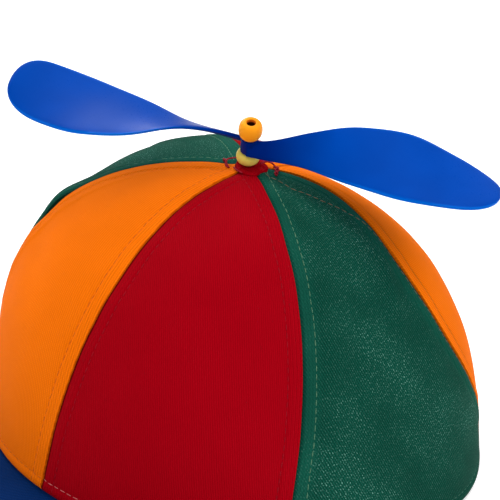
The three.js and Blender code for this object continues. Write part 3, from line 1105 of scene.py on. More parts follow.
    def edge_relief(self, distance: np.ndarray, lap: Lap) -> np.ndarray:
        """The relief beside one seam: the lap, the doubled cloth and the stitched furrow.

        Args:
            distance: how far each point is from the seam.
            lap: how the panel meets its neighbour there.

        Returns:
            How far each point stands out.
        """
        offset = self.stitch_offset
        calm = np.minimum(1.0, self.from_first[-1] / self.CALM_WIDTH)
        furrow = -self.FURROW_DEPTH * hill(distance - offset, self.FURROW_WIDTH)
        ripple = noise_field(self.points, self.PUCKER_LENGTH, self.seed + 7.0) * self.PUCKER_DEPTH
        ripple = ripple * hill(distance - offset, self.PUCKER_WIDTH)
        slow = noise_field(self.points, self.WAVE_LENGTH, self.seed + 3.0) * self.WAVE_DEPTH
        slow = slow * hill(distance, self.WAVE_WIDTH) * smoothstep(distance, 0.0, 2.0)
        doubled = self.allowance * (1.0 - smoothstep(distance / offset, *self.ALLOWANCE_END))
        if lap is Lap.OVER:
            lapped = -self.over_roll * hill(distance, self.over_width)
        else:
            lapped = -self.under_dip * hill(distance, self.under_width)
            doubled = doubled * smoothstep(distance, *self.UNDER_START) * self.UNDER_SHARE
        return lapped * np.minimum(1.0, calm * self.LAP_CALM) + (doubled + furrow + ripple + slow) * calm

    def fold_relief(self) -> np.ndarray:
        """The relief of the panel's own folds and of its slack cloth.

        Returns:
            How far each point stands out.
        """
        width = self.from_first[-1]
        place = self.from_first - width / 2.0
        height = self.from_rim[:, :1]
        relief = self.slack * noise_field(self.points, self.SLACK_LENGTH, self.seed)
        relief = relief * np.sin(math.pi * self.from_first / width)
        relief = relief + self.UNEVENNESS * noise_field(self.points, self.UNEVEN_LENGTH, self.seed + 5.0)
        for fold in self.folds:
            spot = np.searchsorted(-self.from_rim[self.columns // 2], -fold.up * height[self.columns // 2, 0])
            across = place - fold.across * width[min(spot, self.rows)] / 2.0
            up = self.from_rim - fold.up * height
            c, s = math.cos(math.radians(fold.angle)), math.sin(math.radians(fold.angle))
            section = hill(c * across + s * up, fold.width)
            relief = relief + fold.depth * section * hill(c * up - s * across, fold.length)
        return relief

    def shape(self, form: CrownForm, placing: Placing) -> None:
        """Adds the relief to the plain panel and moves it to its place.

        Args:
            form: the crown's form.
            placing: where it lies.
        """
        self.measure(form)
        from_last = self.from_first[-1] - self.from_first
        relief = self.edge_relief(self.from_first, self.laps[0]) + self.edge_relief(from_last, self.laps[1])
        inside = smoothstep(self.from_rim, 0.0, self.RIM_FADE)
        hem = self.HEM_RISE * (1.0 - smoothstep(self.from_rim - self.hem, *self.HEM_END))
        hem = hem - self.HEM_FURROW * hill(self.from_rim - self.hem, self.FURROW_WIDTH)
        hem = hem - self.HEM_ROLL * hill(self.from_rim, self.HEM_ROLL)
        relief = relief * inside + self.fold_relief() * smoothstep(self.from_rim, 0.0, self.FOLD_FADE) + hem
        moved = self.points + self.normals * relief[..., None]
        inner = self.points - self.normals * form.cloth
        for face in (moved, inner):
            face[:, -1, 2] = self.points[:, -1, 2]
            face[..., 2] = np.maximum(face[..., 2], 0.0)
        self.points = placing.crown(moved)
        self.lining = placing.crown(inner)

    def build(self, form: CrownForm, placing: Placing) -> bpy.types.Object:
        """Makes the panel's cloth wall.

        Args:
            form: the crown's form.
            placing: where it lies.

        Returns:
            The panel.
        """
        self.shape(form, placing)
        bm = bmesh.new()
        bmesh.ops.create_grid(bm, x_segments=self.columns, y_segments=self.rows, size=0.5)
        column_layer = bm.verts.layers.int.new("column")
        row_layer = bm.verts.layers.int.new("row")
        for vertex in bm.verts:
            vertex[column_layer] = round((vertex.co.x + 0.5) * self.columns)
            vertex[row_layer] = round((0.5 - vertex.co.y) * self.rows)
            vertex.co = Vector(self.points[vertex[column_layer], vertex[row_layer]])
        self.mark(bm, column_layer, row_layer)
        made = bmesh.ops.extrude_face_region(bm, geom=list(bm.faces), use_keep_orig=True)["geom"]
        for vertex in made:
            if isinstance(vertex, bmesh.types.BMVert):
                vertex.co = Vector(self.lining[vertex[column_layer], vertex[row_layer]])
        bmesh.ops.recalc_face_normals(bm, faces=bm.faces)
        for name in ("column", "row"):
            bm.verts.layers.int.remove(bm.verts.layers.int[name])
        piece = finished(f"cloth_{self.name}", bm, [self.twill.material()])
        piece.data.set_sharp_from_angle(angle=math.radians(self.SHARP_ANGLE))
        return reported(piece, CAP, self.slot, self.name)

    def painted_seam_shade(self) -> np.ndarray:
        """How much shade is painted at each point, under a seam's lap or in a stitched row's furrow.

        Returns:
            A number from 0 to 1 for each point.
        """
        shade = np.zeros_like(self.from_first)
        from_last = self.from_first[-1] - self.from_first
        for distance, lap in ((self.from_first, self.laps[0]), (from_last, self.laps[1])):
            # Painted shade under a lap, and along a furrow where furrow_shade is set.
            if lap is Lap.UNDER:
                shade = np.maximum(shade, hill(distance, self.LAP_SHADE_WIDTH))
            furrow = hill(distance - self.stitch_offset, self.STITCH_SHADE_WIDTH)
            shade = np.maximum(shade, self.furrow_shade * furrow)
        return shade

    def mark(self, bm: bmesh.types.BMesh, column_layer: bmesh.types.BMLayerItem,
             row_layer: bmesh.types.BMLayerItem) -> None:
        """Writes the cloth's UV map and its attributes: beside_seam, and the painted shade of laps and
        furrows.

        Args:
            bm: the panel's outer face.
            column_layer: holds each vertex's column.
            row_layer: holds each vertex's row.
        """
        flat = bm.loops.layers.uv.new("cloth")
        beside = bm.verts.layers.float.new("beside_seam")
        # This attribute holds the painted shade of the laps and furrows.
        shadow = bm.verts.layers.float.new("painted_seam_shade")
        from_seam = np.minimum(self.from_first, self.from_first[-1] - self.from_first)
        painted_seam_shade = self.painted_seam_shade()
        middle = self.from_first[-1] / 2.0
        for vertex in bm.verts:
            column, row = vertex[column_layer], vertex[row_layer]
            vertex[beside] = from_seam[column, row]
            vertex[shadow] = painted_seam_shade[column, row]
        for face in bm.faces:
            for loop in face.loops:
                column, row = loop.vert[column_layer], loop.vert[row_layer]
                across = self.from_first[column, row] - middle[row]
                loop[flat].uv = (across * MM, self.from_rim[column, row] * MM)

    def row_beside(self, first: bool) -> tuple[np.ndarray, np.ndarray]:
        """The path of the topstitching beside a seam, on to where it meets the other seam.

        Args:
            first: whether it is the panel's first seam.

        Returns:
            The path and the cloth's normals along it.
        """
        total = self.from_first[-1]
        middle = self.from_rim[self.columns // 2]
        offsets = np.full(self.rows + 1, self.stitch_offset)
        if self.last_row and not first:
            table = np.array(self.last_row)
            offsets = np.interp(middle[0] - middle, table[:, 0], table[:, 1])
        path, up = [], []
        for row in range(self.rows + 1):
            if total[row] < offsets[row] + self.ROW_ROOM or middle[row] < self.ROW_END:
                continue
            distance = offsets[row] if first else total[row] - offsets[row]
            path.append(read_at(distance, self.from_first[:, row], self.points[:, row]))
            up.append(read_at(distance, self.from_first[:, row], self.normals[:, row]))
        return np.array(path), np.array(up)

    def row_at_rim(self) -> tuple[np.ndarray, np.ndarray]:
        """The path of the hem's stitching, and the cloth's normals along it."""
        return row_at(self.hem, self.from_rim, self.points, self.normals)

    def topstitch(self, threads: tuple[Thread, Thread, Thread]) -> bpy.types.Object:
        """Makes the rows of stitches beside both seams and along the rim.

        Args:
            threads: the thread beside the first seam, beside the last seam and along the rim.

        Returns:
            The stitching.
        """
        bm = bmesh.new()
        rows = (self.row_beside(True), self.row_beside(False), self.row_at_rim())
        for index, (path, up) in enumerate(rows):
            done = set(bm.faces)
            self.STITCHING.lay(bm, path, up, self.first_seam * len(rows) + index)
            for face in bm.faces:
                if face not in done:
                    face.material_index = index
        name = self.name.replace("panel", "topstitch")
        return reported(finished(name, bm, [thread.material() for thread in threads]), CAP, self.slot)


@dataclass
class Peak:
    """The peak: twill over a curved board, with one row of stitching near its edge."""

    twill: Twill
    thread: Thread
    columns: int = 120
    rows: int = 36
    stitch_inset: float = 6.0
    points: np.ndarray = field(init=False)
    normals: np.ndarray = field(init=False)
    to_edge: np.ndarray = field(init=False)

    STITCHING = Stitching(pitch=3.0)
    STITCH_SEED = 40
    FURROW_DEPTH = 0.25
    FURROW_WIDTH = 0.6
    UNEVENNESS = 0.12
    UNEVEN_LENGTH = 8.0
    UNEVEN_SEED = 4.0
    EDGE_FADE = 4.0
    EDGE_ROLL = 1.1
    EDGE_SEGMENTS = 4
    EDGE_ANGLE = 55.0

    def shape(self, form: CrownForm, placing: Placing) -> None:
        """Works out the peak's upper face.

        Args:
            form: the crown's form, which holds the peak's.
            placing: where it lies.
        """
        peak = form.peak
        u = np.linspace(-1.0, 1.0, self.columns + 1)
        angle = np.radians(peak.spread * u)
        rim = form.point(peak.spread * u, np.ones_like(u), np.zeros_like(u))
        inner_x = rim[:, 0] - form.cloth * np.sin(angle)
        inner_y = rim[:, 1] + form.cloth * np.cos(angle)
        outer_x, outer_y = peak.outer_edge(u, form.radius)
        share = np.linspace(0.0, 1.0, self.rows + 1)[None, :]
        x = inner_x[:, None] + (outer_x - inner_x)[:, None] * share
        y = inner_y[:, None] + (outer_y - inner_y)[:, None] * share
        z = form.front_height() - form.piece_gap - peak.fall(x, y, form.radius)
        points = np.stack([x, y, z], -1)
        self.to_edge = np.hypot(x - outer_x[:, None], y - outer_y[:, None])
        self.normals = surface_normals(points)
        furrow = self.FURROW_DEPTH * hill(self.to_edge - self.stitch_inset, self.FURROW_WIDTH)
        uneven = noise_field(points, self.UNEVEN_LENGTH, self.UNEVEN_SEED)
        uneven = uneven * smoothstep(self.to_edge, 0.0, self.EDGE_FADE)
        relief = self.UNEVENNESS * (uneven - 1.0) - furrow
        self.points = placing.crown(points + self.normals * relief[..., None])

    def build(self, form: CrownForm, placing: Placing) -> bpy.types.Object:
        """Makes the peak.

        Args:
            form: the crown's form, which holds the peak's.
            placing: where it lies.

        Returns:
            The peak.
        """
        self.shape(form, placing)
        bm = bmesh.new()
        bmesh.ops.create_grid(bm, x_segments=self.columns, y_segments=self.rows, size=0.5)
        for vertex in bm.verts:
            column = round((vertex.co.x + 0.5) * self.columns)
            row = round((0.5 - vertex.co.y) * self.rows)
            vertex.co = Vector(self.points[column, row])
        unwrapped_from_above(bm)
        bm.normal_update()
        bm.faces.ensure_lookup_table()
        if bm.faces[0].normal.z < 0.0:
            bmesh.ops.reverse_faces(bm, faces=bm.faces)
        piece = finished("cloth_peak", bm, [self.twill.material()])
        wall = piece.modifiers.new("board", "SOLIDIFY")
        wall.thickness = form.peak.thickness * MM
        wall.offset = -1.0
        rolled = piece.modifiers.new("rolled_edge", "BEVEL")
        rolled.width = self.EDGE_ROLL * MM
        rolled.segments = self.EDGE_SEGMENTS
        rolled.limit_method = "ANGLE"
        rolled.angle_limit = math.radians(self.EDGE_ANGLE)
        return reported(piece, CAP, "twill_navy", "peak")

    def topstitch(self) -> bpy.types.Object:
        """Makes the row of stitches near the peak's edge.

        Returns:
            The stitching.
        """
        sewn = slice(2, self.columns - 1)
        path, up = row_at(self.stitch_inset, self.to_edge[sewn], self.points[sewn], self.normals[sewn])
        bm = bmesh.new()
        self.STITCHING.lay(bm, path, up, self.STITCH_SEED)
        piece = finished("topstitch_peak", bm, [self.thread.material()])
        return reported(piece, CAP, "twill_navy")


def unwrapped_from_above(bm: bmesh.types.BMesh) -> None:
    """Gives cloth that lies nearly flat its UV map, as seen from above.

    Args:
        bm: the cloth, in metres.
    """
    layer = bm.loops.layers.uv.new("cloth")
    for face in bm.faces:
        for loop in face.loops:
            loop[layer].uv = loop.vert.co.xy


def turned_ring(bm: bmesh.types.BMesh, profile: list[tuple[float, float]], steps: int) -> None:
    """Spins a closed profile of radius and height round +Z.

    Args:
        bm: takes the shape.
        profile: corners in millimetres, in order round the section.
        steps: how many segments the turn has.
    """
    corners = [bm.verts.new((radius * MM, 0.0, height * MM)) for radius, height in profile]
    edges = [bm.edges.new((corners[k - 1], corners[k])) for k in range(len(corners))]
    bmesh.ops.spin(bm, geom=corners + edges, cent=(0, 0, 0), axis=(0, 0, 1), angle=2.0 * math.pi,
                   steps=steps, use_merge=True)
    bmesh.ops.remove_doubles(bm, verts=bm.verts, dist=0.001 * MM)
    bmesh.ops.recalc_face_normals(bm, faces=bm.faces)


@dataclass
class Bead:
    """A drilled bead on the spindle, whose start is its lower end's height above the cloth."""

    name: str
    node: str
    slot: str
    plastic: Plastic
    start: float
    length: float
    radius: float = 4.15
    bore: float = 1.6
    mouth: float = 0.35
    squareness: float = 0.8
    rows: int = 30
    mouth_rows: int = 5
    bore_rows: int = 16
    dark_depth: float = 2.4

    SEGMENTS = 56
    BORE_TOLERANCE = 0.02

    def profile(self) -> list[tuple[float, float]]:
        """The bead's section: its bulge, its upper mouth, its bore and its lower mouth.

        Returns:
            The corners' radius and height.
        """
        mouth = self.bore + self.mouth
        corners = []
        for k in range(self.rows + 1):
            angle = math.radians(-90.0 + 180.0 * k / self.rows)
            bulge = abs(math.cos(angle)) ** self.squareness
            height = self.length / 2.0 * (1.0 + math.sin(angle))
            corners.append((mouth + (self.radius - mouth) * bulge, height))
        quarter = [math.radians(90.0 * k / self.mouth_rows) for k in range(self.mouth_rows + 1)]
        for angle in quarter[1:]:
            height = self.length - self.mouth * (1.0 - math.cos(angle))
            corners.append((mouth - self.mouth * math.sin(angle), height))
        wall = self.length - 2.0 * self.mouth
        for k in range(1, self.bore_rows):
            corners.append((self.bore, self.length - self.mouth - wall * k / self.bore_rows))
        for angle in quarter[:-1]:
            corners.append((mouth - self.mouth * math.cos(angle), self.mouth * (1.0 - math.sin(angle))))
        return corners

    def build(self, placing: Placing) -> bpy.types.Object:
        """Makes the bead in its place along the spindle.

        Args:
            placing: where the spindle lies.

        Returns:
            The bead.
        """
        bm = bmesh.new()
        turned_ring(bm, self.profile(), self.SEGMENTS)
        # The attribute bore places the painted bounced light and the painted shade of the bore.
        inside = bm.verts.layers.float.new("bore")
        for vertex in bm.verts:
            if math.hypot(vertex.co.x, vertex.co.y) < (self.bore + self.BORE_TOLERANCE) * MM:
                depth = min(vertex.co.z / MM, self.length - vertex.co.z / MM)
                vertex[inside] = min(depth / self.dark_depth, 1.0)
        bmesh.ops.transform(bm, matrix=placing.stack(self.start), verts=bm.verts)
        piece = finished(self.name, bm, [self.plastic.material()])
        return reported(piece, CAP, self.slot, self.node)


@dataclass(frozen=True)
class BladeStation:
    """A blade's section: lead and trail are shares of the span, and pitch is in degrees."""

    lead: float
    trail: float
    pitch: float


@dataclass
class Propeller:
    """The hub and both twisted blades, in one moulding.

    start is the hub's lower end above the cloth, rise the blades' height above it, and turn how far
    the blades are turned about the spindle in degrees. cone lifts the blades towards their tips.
    """

    plastic: Plastic
    start: float
    hub_radius: float = 2.95
    hub_length: float = 6.2
    hub_round: float = 0.5
    bore: float = 1.6
    span: float = 87.0
    thickness: float = 1.8
    rise: float = 5.4
    blade_start: float = 3.8
    turn: float = 31.4
    tip_squareness: float = 4.5
    edge_squareness: float = 0.5
    cone: float = 1.0
    sections: int = 56
    section_points: int = 28
    last_section: float = 0.9995
    stations: tuple[BladeStation, ...] = (
        BladeStation(0.002, 0.07, 50),
        BladeStation(0.082, 0.066, 36),
        BladeStation(0.171, 0.103, 14.5),
        BladeStation(0.209, 0.135, 5.5),
        BladeStation(0.185, 0.157, -5),
        BladeStation(0.16, 0.2, -15.5),
    )

    THIN_TIP = 0.35
    LEAST_CLOSING = 0.05
    HUB_SEGMENTS = 64
    BORE_SEGMENTS = 48
    SHARP_ANGLE = 40.0

    def station(self, column: str, share: float) -> float:
        """A blade column at any share of the span.

        Args:
            column: lead, trail or pitch.
            share: 0 at the blade's start and 1 at its tip.

        Returns:
            The column's value there.
        """
        values = [getattr(row, column) for row in self.stations]
        last = len(values) - 1
        row = min(int(share * last), last - 1)
        before, here, after, beyond = (values[min(max(row + step, 0), last)] for step in (-1, 0, 1, 2))
        return cubic(before, here, after, beyond, share * last - row)

    def closing(self, share: float) -> float:
        """How much of a blade's width is left at a share of the span, as its tip rounds off."""
        return math.sqrt(max(1.0 - share ** (2.0 * self.tip_squareness), 0.0))

    def chord(self, share: float, closing: float) -> tuple[float, float, float, float]:
        """A section's line across the blade.

        Args:
            share: 0 at the blade's start and 1 at its tip.
            closing: how much of the width is left there.

        Returns:
            How far it leads and trails, its height and its pitch in radians.
        """
        lead = self.station("lead", share) * self.span * closing
        trail = self.station("trail", share) * self.span * closing
        lift = self.rise + self.cone * share * share
        return lead, trail, lift, math.radians(self.station("pitch", share))

    def section(self, distance: float, share: float) -> list[Vector]:
        """The corners of a blade's section.

        Args:
            distance: millimetres from the axis.
            share: 0 at the blade's start and 1 at its tip.

        Returns:
            The corners in order, in metres.
        """
        closing = self.closing(share)
        lead, trail, lift, pitch = self.chord(share, closing)
        corners = []
        for k in range(self.section_points):
            angle = 2.0 * math.pi * k / self.section_points
            along = (lead - trail) / 2.0 + (lead + trail) / 2.0 * math.cos(angle)
            sine = math.sin(angle)
            thick = math.copysign(abs(sine) ** self.edge_squareness, sine) * self.thickness / 2.0
            thick *= min(1.0, closing / self.THIN_TIP)
            corners.append(Vector((
                distance,
                along * math.cos(pitch) - thick * math.sin(pitch),
                lift + along * math.sin(pitch) + thick * math.cos(pitch),
            )) * MM)
        return corners

    def blade(self) -> bmesh.types.BMesh:
        """One blade along +X, drawn out from a ring of corners.

        Returns:
            The blade's closed shell.
        """
        rings = [self.section(0.0, 0.0)]
        for k in range(self.sections + 1):
            share = self.last_section * math.sin(math.pi / 2.0 * k / self.sections)
            rings.append(self.section(self.blade_start + (self.span - self.blade_start) * share, share))
        bm = bmesh.new()
        drawn_out(bm, rings, capped=True)
        bmesh.ops.recalc_face_normals(bm, faces=bm.faces)
        return bm

    def mark(self, mesh: bpy.types.Mesh) -> None:
        """Writes the attributes reach and edge, while the blades still lie along X.

        Args:
            mesh: the moulding's mesh.
        """
        reach, edge = [], []
        for vertex in mesh.vertices:
            side = 1.0 if vertex.co.x >= 0.0 else -1.0
            distance, across, height = vertex.co.x * side / MM, vertex.co.y * side / MM, vertex.co.z / MM
            share = min(max((distance - self.blade_start) / (self.span - self.blade_start), 0.0), 1.0)
            lead, trail, lift, pitch = self.chord(share, max(self.closing(share), self.LEAST_CLOSING))
            along = across * math.cos(pitch) + (height - lift) * math.sin(pitch)
            reach.append(share)
            edge.append(min(abs(2.0 * along - lead + trail) / (lead + trail), 1.0))
        for name, values in (("reach", reach), ("edge", edge)):
            mesh.attributes.new(name, "FLOAT", "POINT").data.foreach_set("value", values)

    def build(self, placing: Placing) -> bpy.types.Object:
        """Joins the hub and the blades, drills them and moves them to their place.

        Args:
            placing: where the spindle lies.

        Returns:
            The moulding.
        """
        hub = bmesh.new()
        bmesh.ops.create_cone(hub, cap_ends=True, segments=self.HUB_SEGMENTS, radius1=self.hub_radius * MM,
                              radius2=self.hub_radius * MM, depth=self.hub_length * MM,
                              matrix=Matrix.Translation((0, 0, self.hub_length * MM / 2)))
        rims = [e for e in hub.edges if any(len(f.verts) > 4 for f in e.link_faces)]
        bmesh.ops.bevel(hub, geom=rims, offset=self.hub_round * MM, segments=4, profile=0.5,
                        affect="EDGES", material=-1)
        moulding = finished("blade_moulding", hub, [self.plastic.material()])
        for turn in (0.0, math.pi):
            blade = self.blade()
            bmesh.ops.rotate(blade, verts=blade.verts, matrix=Matrix.Rotation(turn, 3, "Z"))
            combine(moulding, finished("blade_tool", blade, []), "UNION")
        drill = bmesh.new()
        bmesh.ops.create_cone(drill, cap_ends=True, segments=self.BORE_SEGMENTS, radius1=self.bore * MM,
                              radius2=self.bore * MM, depth=self.hub_length * 3 * MM)
        combine(moulding, finished("drill_tool", drill, []), "DIFFERENCE")
        self.mark(moulding.data)
        turned = placing.stack(self.start) @ Matrix.Rotation(math.radians(self.turn), 4, "Z")
        moulding.data.transform(turned)
        moulding.data.shade_smooth()
        moulding.data.set_sharp_from_angle(angle=math.radians(self.SHARP_ANGLE))
        moulding.name = "propeller_moulding"
        return reported(moulding, PROPELLER, "blade_blue", "propeller")


def combine(target: bpy.types.Object, tool: bpy.types.Object, operation: str) -> None:
    """Joins a tool to a target, or cuts it away, and removes the tool.

    Args:
        target: keeps the result in its mesh.
        tool: the other shape.
        operation: UNION or DIFFERENCE.
    """
    boolean = target.modifiers.new("boolean", "BOOLEAN")
    boolean.object = tool
    boolean.operation = operation
    boolean.solver = "EXACT"
    bpy.context.view_layer.update()
    evaluated = target.evaluated_get(bpy.context.evaluated_depsgraph_get())
    result = bpy.data.meshes.new_from_object(evaluated)
    target.modifiers.clear()
    target.data = result
    bpy.data.objects.remove(tool)


@dataclass
class ClothNeck:
    """The red cloth gathered up to the lower bead, over the tips of the panels.

    The foot lies on the crown: its rows are the azimuth and the distance from the crown's axis. The
    throat stands round the spindle under the bead. PLAIN_CLOTH is a distance from any seam at which
    the twill has no ridges.
    """

    twill: Twill
    lift: float = 0.7
    hem: float = 0.6
    hem_lift: float = 0.12
    throat_radius: float = 3.55
    throat_height: float = 1.05
    inner_radius: float = 2.2
    lip: float = 0.2
    lip_inset: float = 0.35
    wall: float = 0.4
    pleats: int = 13
    pleat_depth: float = 0.16
    steps: int = 104
    rings: int = 12
    foot: tuple[tuple[float, float], ...] = (
        (0.0, 6.0),
        (30.0, 7.4),
        (56.0, 7.6),
        (74.0, 6.0),
        (112.0, 5.5),
        (180.0, 5.4),
        (250.0, 5.2),
        (325.0, 5.2),
    )

    PLEAT_SWAY = 1.3
    PLEAT_RISE = 1.15
    PLAIN_CLOTH = 20.0

    def around(self, placing: Placing, azimuth: float, radius: float, height: float) -> Vector:
        """A point round the spindle, at a radius and a height in millimetres."""
        angle = math.radians(azimuth)
        return placing.stack() @ (Vector((radius * math.sin(angle), -radius * math.cos(angle), height)) * MM)

    def pleat(self, azimuth: float, share: float) -> float:
        """How far the pleats stand out at an azimuth and a share of the way up to the throat."""
        phase = self.pleats * math.radians(azimuth) + self.PLEAT_SWAY * math.sin(2.0 * math.radians(azimuth))
        return self.pleat_depth * math.sin(phase) * math.sin(math.pi * min(share * self.PLEAT_RISE, 1.0))

    def drawn_up(self, form: CrownForm, placing: Placing) -> list[list[Vector]]:
        """The rings of cloth from the hem on the crown up to the throat and over its lip.

        Args:
            form: the crown's form.
            placing: where it lies.

        Returns:
            The corners of each ring in order, in metres.
        """
        azimuths = np.arange(self.steps) * 360.0 / self.steps
        table = np.array(self.foot)
        reach = np.interp(azimuths, table[:, 0], table[:, 1], period=360.0)
        foot = placing.crown(form.near_apex(azimuths, reach, np.full_like(azimuths, self.lift)))
        hem = placing.crown(form.near_apex(azimuths, reach + self.hem, np.full_like(azimuths, self.hem_lift)))
        rings = [[Vector(spot) for spot in hem]]
        for k in range(self.rings + 1):
            share = k / self.rings
            ring = []
            for azimuth, low in zip(azimuths, (Vector(spot) for spot in foot)):
                high = self.around(placing, azimuth, self.throat_radius, self.throat_height)
                slope = high - low
                outwards = slope.cross(placing.axis.cross(slope)).normalized()
                ring.append(low.lerp(high, share) + outwards * self.pleat(azimuth, share) * MM)
            rings.append(ring)
        top = self.throat_height + self.lip
        for radius in (self.throat_radius - self.lip_inset, self.inner_radius):
            rings.append([self.around(placing, azimuth, radius, top) for azimuth in azimuths])
        return rings

    def build(self, form: CrownForm, placing: Placing) -> bpy.types.Object:
        """Makes the neck, which is gathered from the crown up to the bead.

        Args:
            form: the crown's form.
            placing: where it lies.

        Returns:
            The neck.
        """
        bm = bmesh.new()
        drawn_out(bm, self.drawn_up(form, placing), capped=False)
        unwrapped_from_above(bm)
        marks = bm.verts.layers.float.new("beside_seam")
        for vertex in bm.verts:
            vertex[marks] = self.PLAIN_CLOTH
        bm.normal_update()
        if sum(face.normal.dot(placing.axis) for face in bm.faces) < 0.0:
            bmesh.ops.reverse_faces(bm, faces=bm.faces)
        piece = finished("cloth_neck", bm, [self.twill.material()])
        wall = piece.modifiers.new("wall", "SOLIDIFY")
        wall.thickness = self.wall * MM
        wall.offset = -1.0
        return reported(piece, CAP, "twill_crimson")


@dataclass
class TackThreads:
    """The loose red threads and knots that hold the gathered cloth.

    Each path's rows are an azimuth, a distance from the crown's axis and a lift above the cloth.
    """

    thread: Thread
    radius: float = 0.3
    sides: int = 8
    smoothness: int = 6
    paths: tuple[tuple[tuple[float, float, float], ...], ...] = (
        ((84, 3.6, 3.2), (112, 3.4, 3.3), (146, 5.2, 2.9), (158, 7.6, 1.8), (144, 8.5, 0.8), (116, 9.5, 0.4)),
        ((88, 4.4, 2.3), (120, 4.6, 2.5), (148, 6.4, 2.0), (156, 8.2, 1.3), (138, 8.9, 0.6), (120, 9.2, 0.4)),
        ((152, 9.6, 0.4), (140, 8.3, 1.1), (128, 9.6, 0.9), (112, 8.8, 0.8), (108, 9.9, 0.4)),
        ((148, 8.0, 0.5), (136, 9.3, 1.3), (122, 8.4, 1.1), (114, 9.8, 0.6)),
        ((-78, 11.8, 0.4), (-66, 9.9, 1.2), (-50, 8.9, 1.1), (-32, 8.0, 0.3)),
        ((-70, 10.9, 0.4), (-60, 9.2, 1.5), (-44, 9.1, 0.8), (-36, 8.2, 0.3)),
        ((-95, 6.0, 1.2), (-86, 8.2, 1.2), (-74, 9.8, 0.9), (-62, 9.8, 0.5)),
        ((-20, 6.6, 0.6), (2, 7.2, 0.8), (22, 8.0, 0.7)),
    )

    def build(self, form: CrownForm, placing: Placing) -> bpy.types.Object:
        """Makes all the threads as one piece.

        Args:
            form: the crown's form.
            placing: where it lies.

        Returns:
            The threads.
        """
        bm = bmesh.new()
        for rows in self.paths:
            table = np.array(rows, dtype=float)
            spots = placing.crown(form.near_apex(table[:, 0], table[:, 1], table[:, 2]))
            drawn_out(bm, self.tube(self.smooth(spots)), capped=True)
        bmesh.ops.recalc_face_normals(bm, faces=bm.faces)
        return reported(finished("tack_threads", bm, [self.thread.material()]), CAP, "twill_crimson")

    def smooth(self, spots: np.ndarray) -> list[Vector]:
        """A smooth path through the given spots.

        Args:
            spots: points in metres.

        Returns:
            The path's points.
        """
        last = len(spots) - 1
        path = []
        for row in range(last):
            around = [spots[min(max(row + step, 0), last)] for step in (-1, 0, 1, 2)]
            for k in range(self.smoothness):
                path.append(Vector(cubic(*around, k / self.smoothness)))
        path.append(Vector(spots[last]))
        return path

    def tube(self, path: list[Vector]) -> list[list[Vector]]:
        """The rings of a thread along a path.

        Args:
            path: the middle of the thread.

        Returns:
            The corners of each ring in order.
        """
        side = Vector((0.0, 0.0, 1.0))
        rings = []
        for k, spot in enumerate(path):
            tangent = (path[min(k + 1, len(path) - 1)] - path[max(k - 1, 0)]).normalized()
            side = (side - tangent * side.dot(tangent)).normalized()
            other = tangent.cross(side)
            ring = []
            for step in range(self.sides):
                angle = 2.0 * math.pi * step / self.sides
                ring.append(spot + (side * math.cos(angle) + other * math.sin(angle)) * self.radius * MM)
            rings.append(ring)
        return rings


@dataclass(frozen=True)
class Lamp:
    """A soft square light that faces the cap.

    azimuth is given as the camera's is and elevation from the horizon, both in degrees. power is in
    watts, and distance and the square's size are in metres.
    """

    name: str
    azimuth: float
    elevation: float
    power: float
    distance: float = 1.5
    size: float = 0.8

    def hang(self, target: Vector) -> None:
        """Hangs the light.

        Args:
            target: what it faces, in metres.
        """
        back = direction(self.azimuth, self.elevation)
        data = bpy.data.lights.new(self.name, "AREA")
        data.shape = "SQUARE"
        data.size = self.size
        data.energy = self.power
        light = bpy.data.objects.new(self.name, data)
        bpy.context.scene.collection.objects.link(light)
        light.rotation_mode = "QUATERNION"
        light.rotation_quaternion = (-back).to_track_quat("-Z", "Y")
        light.location = target + back * self.distance


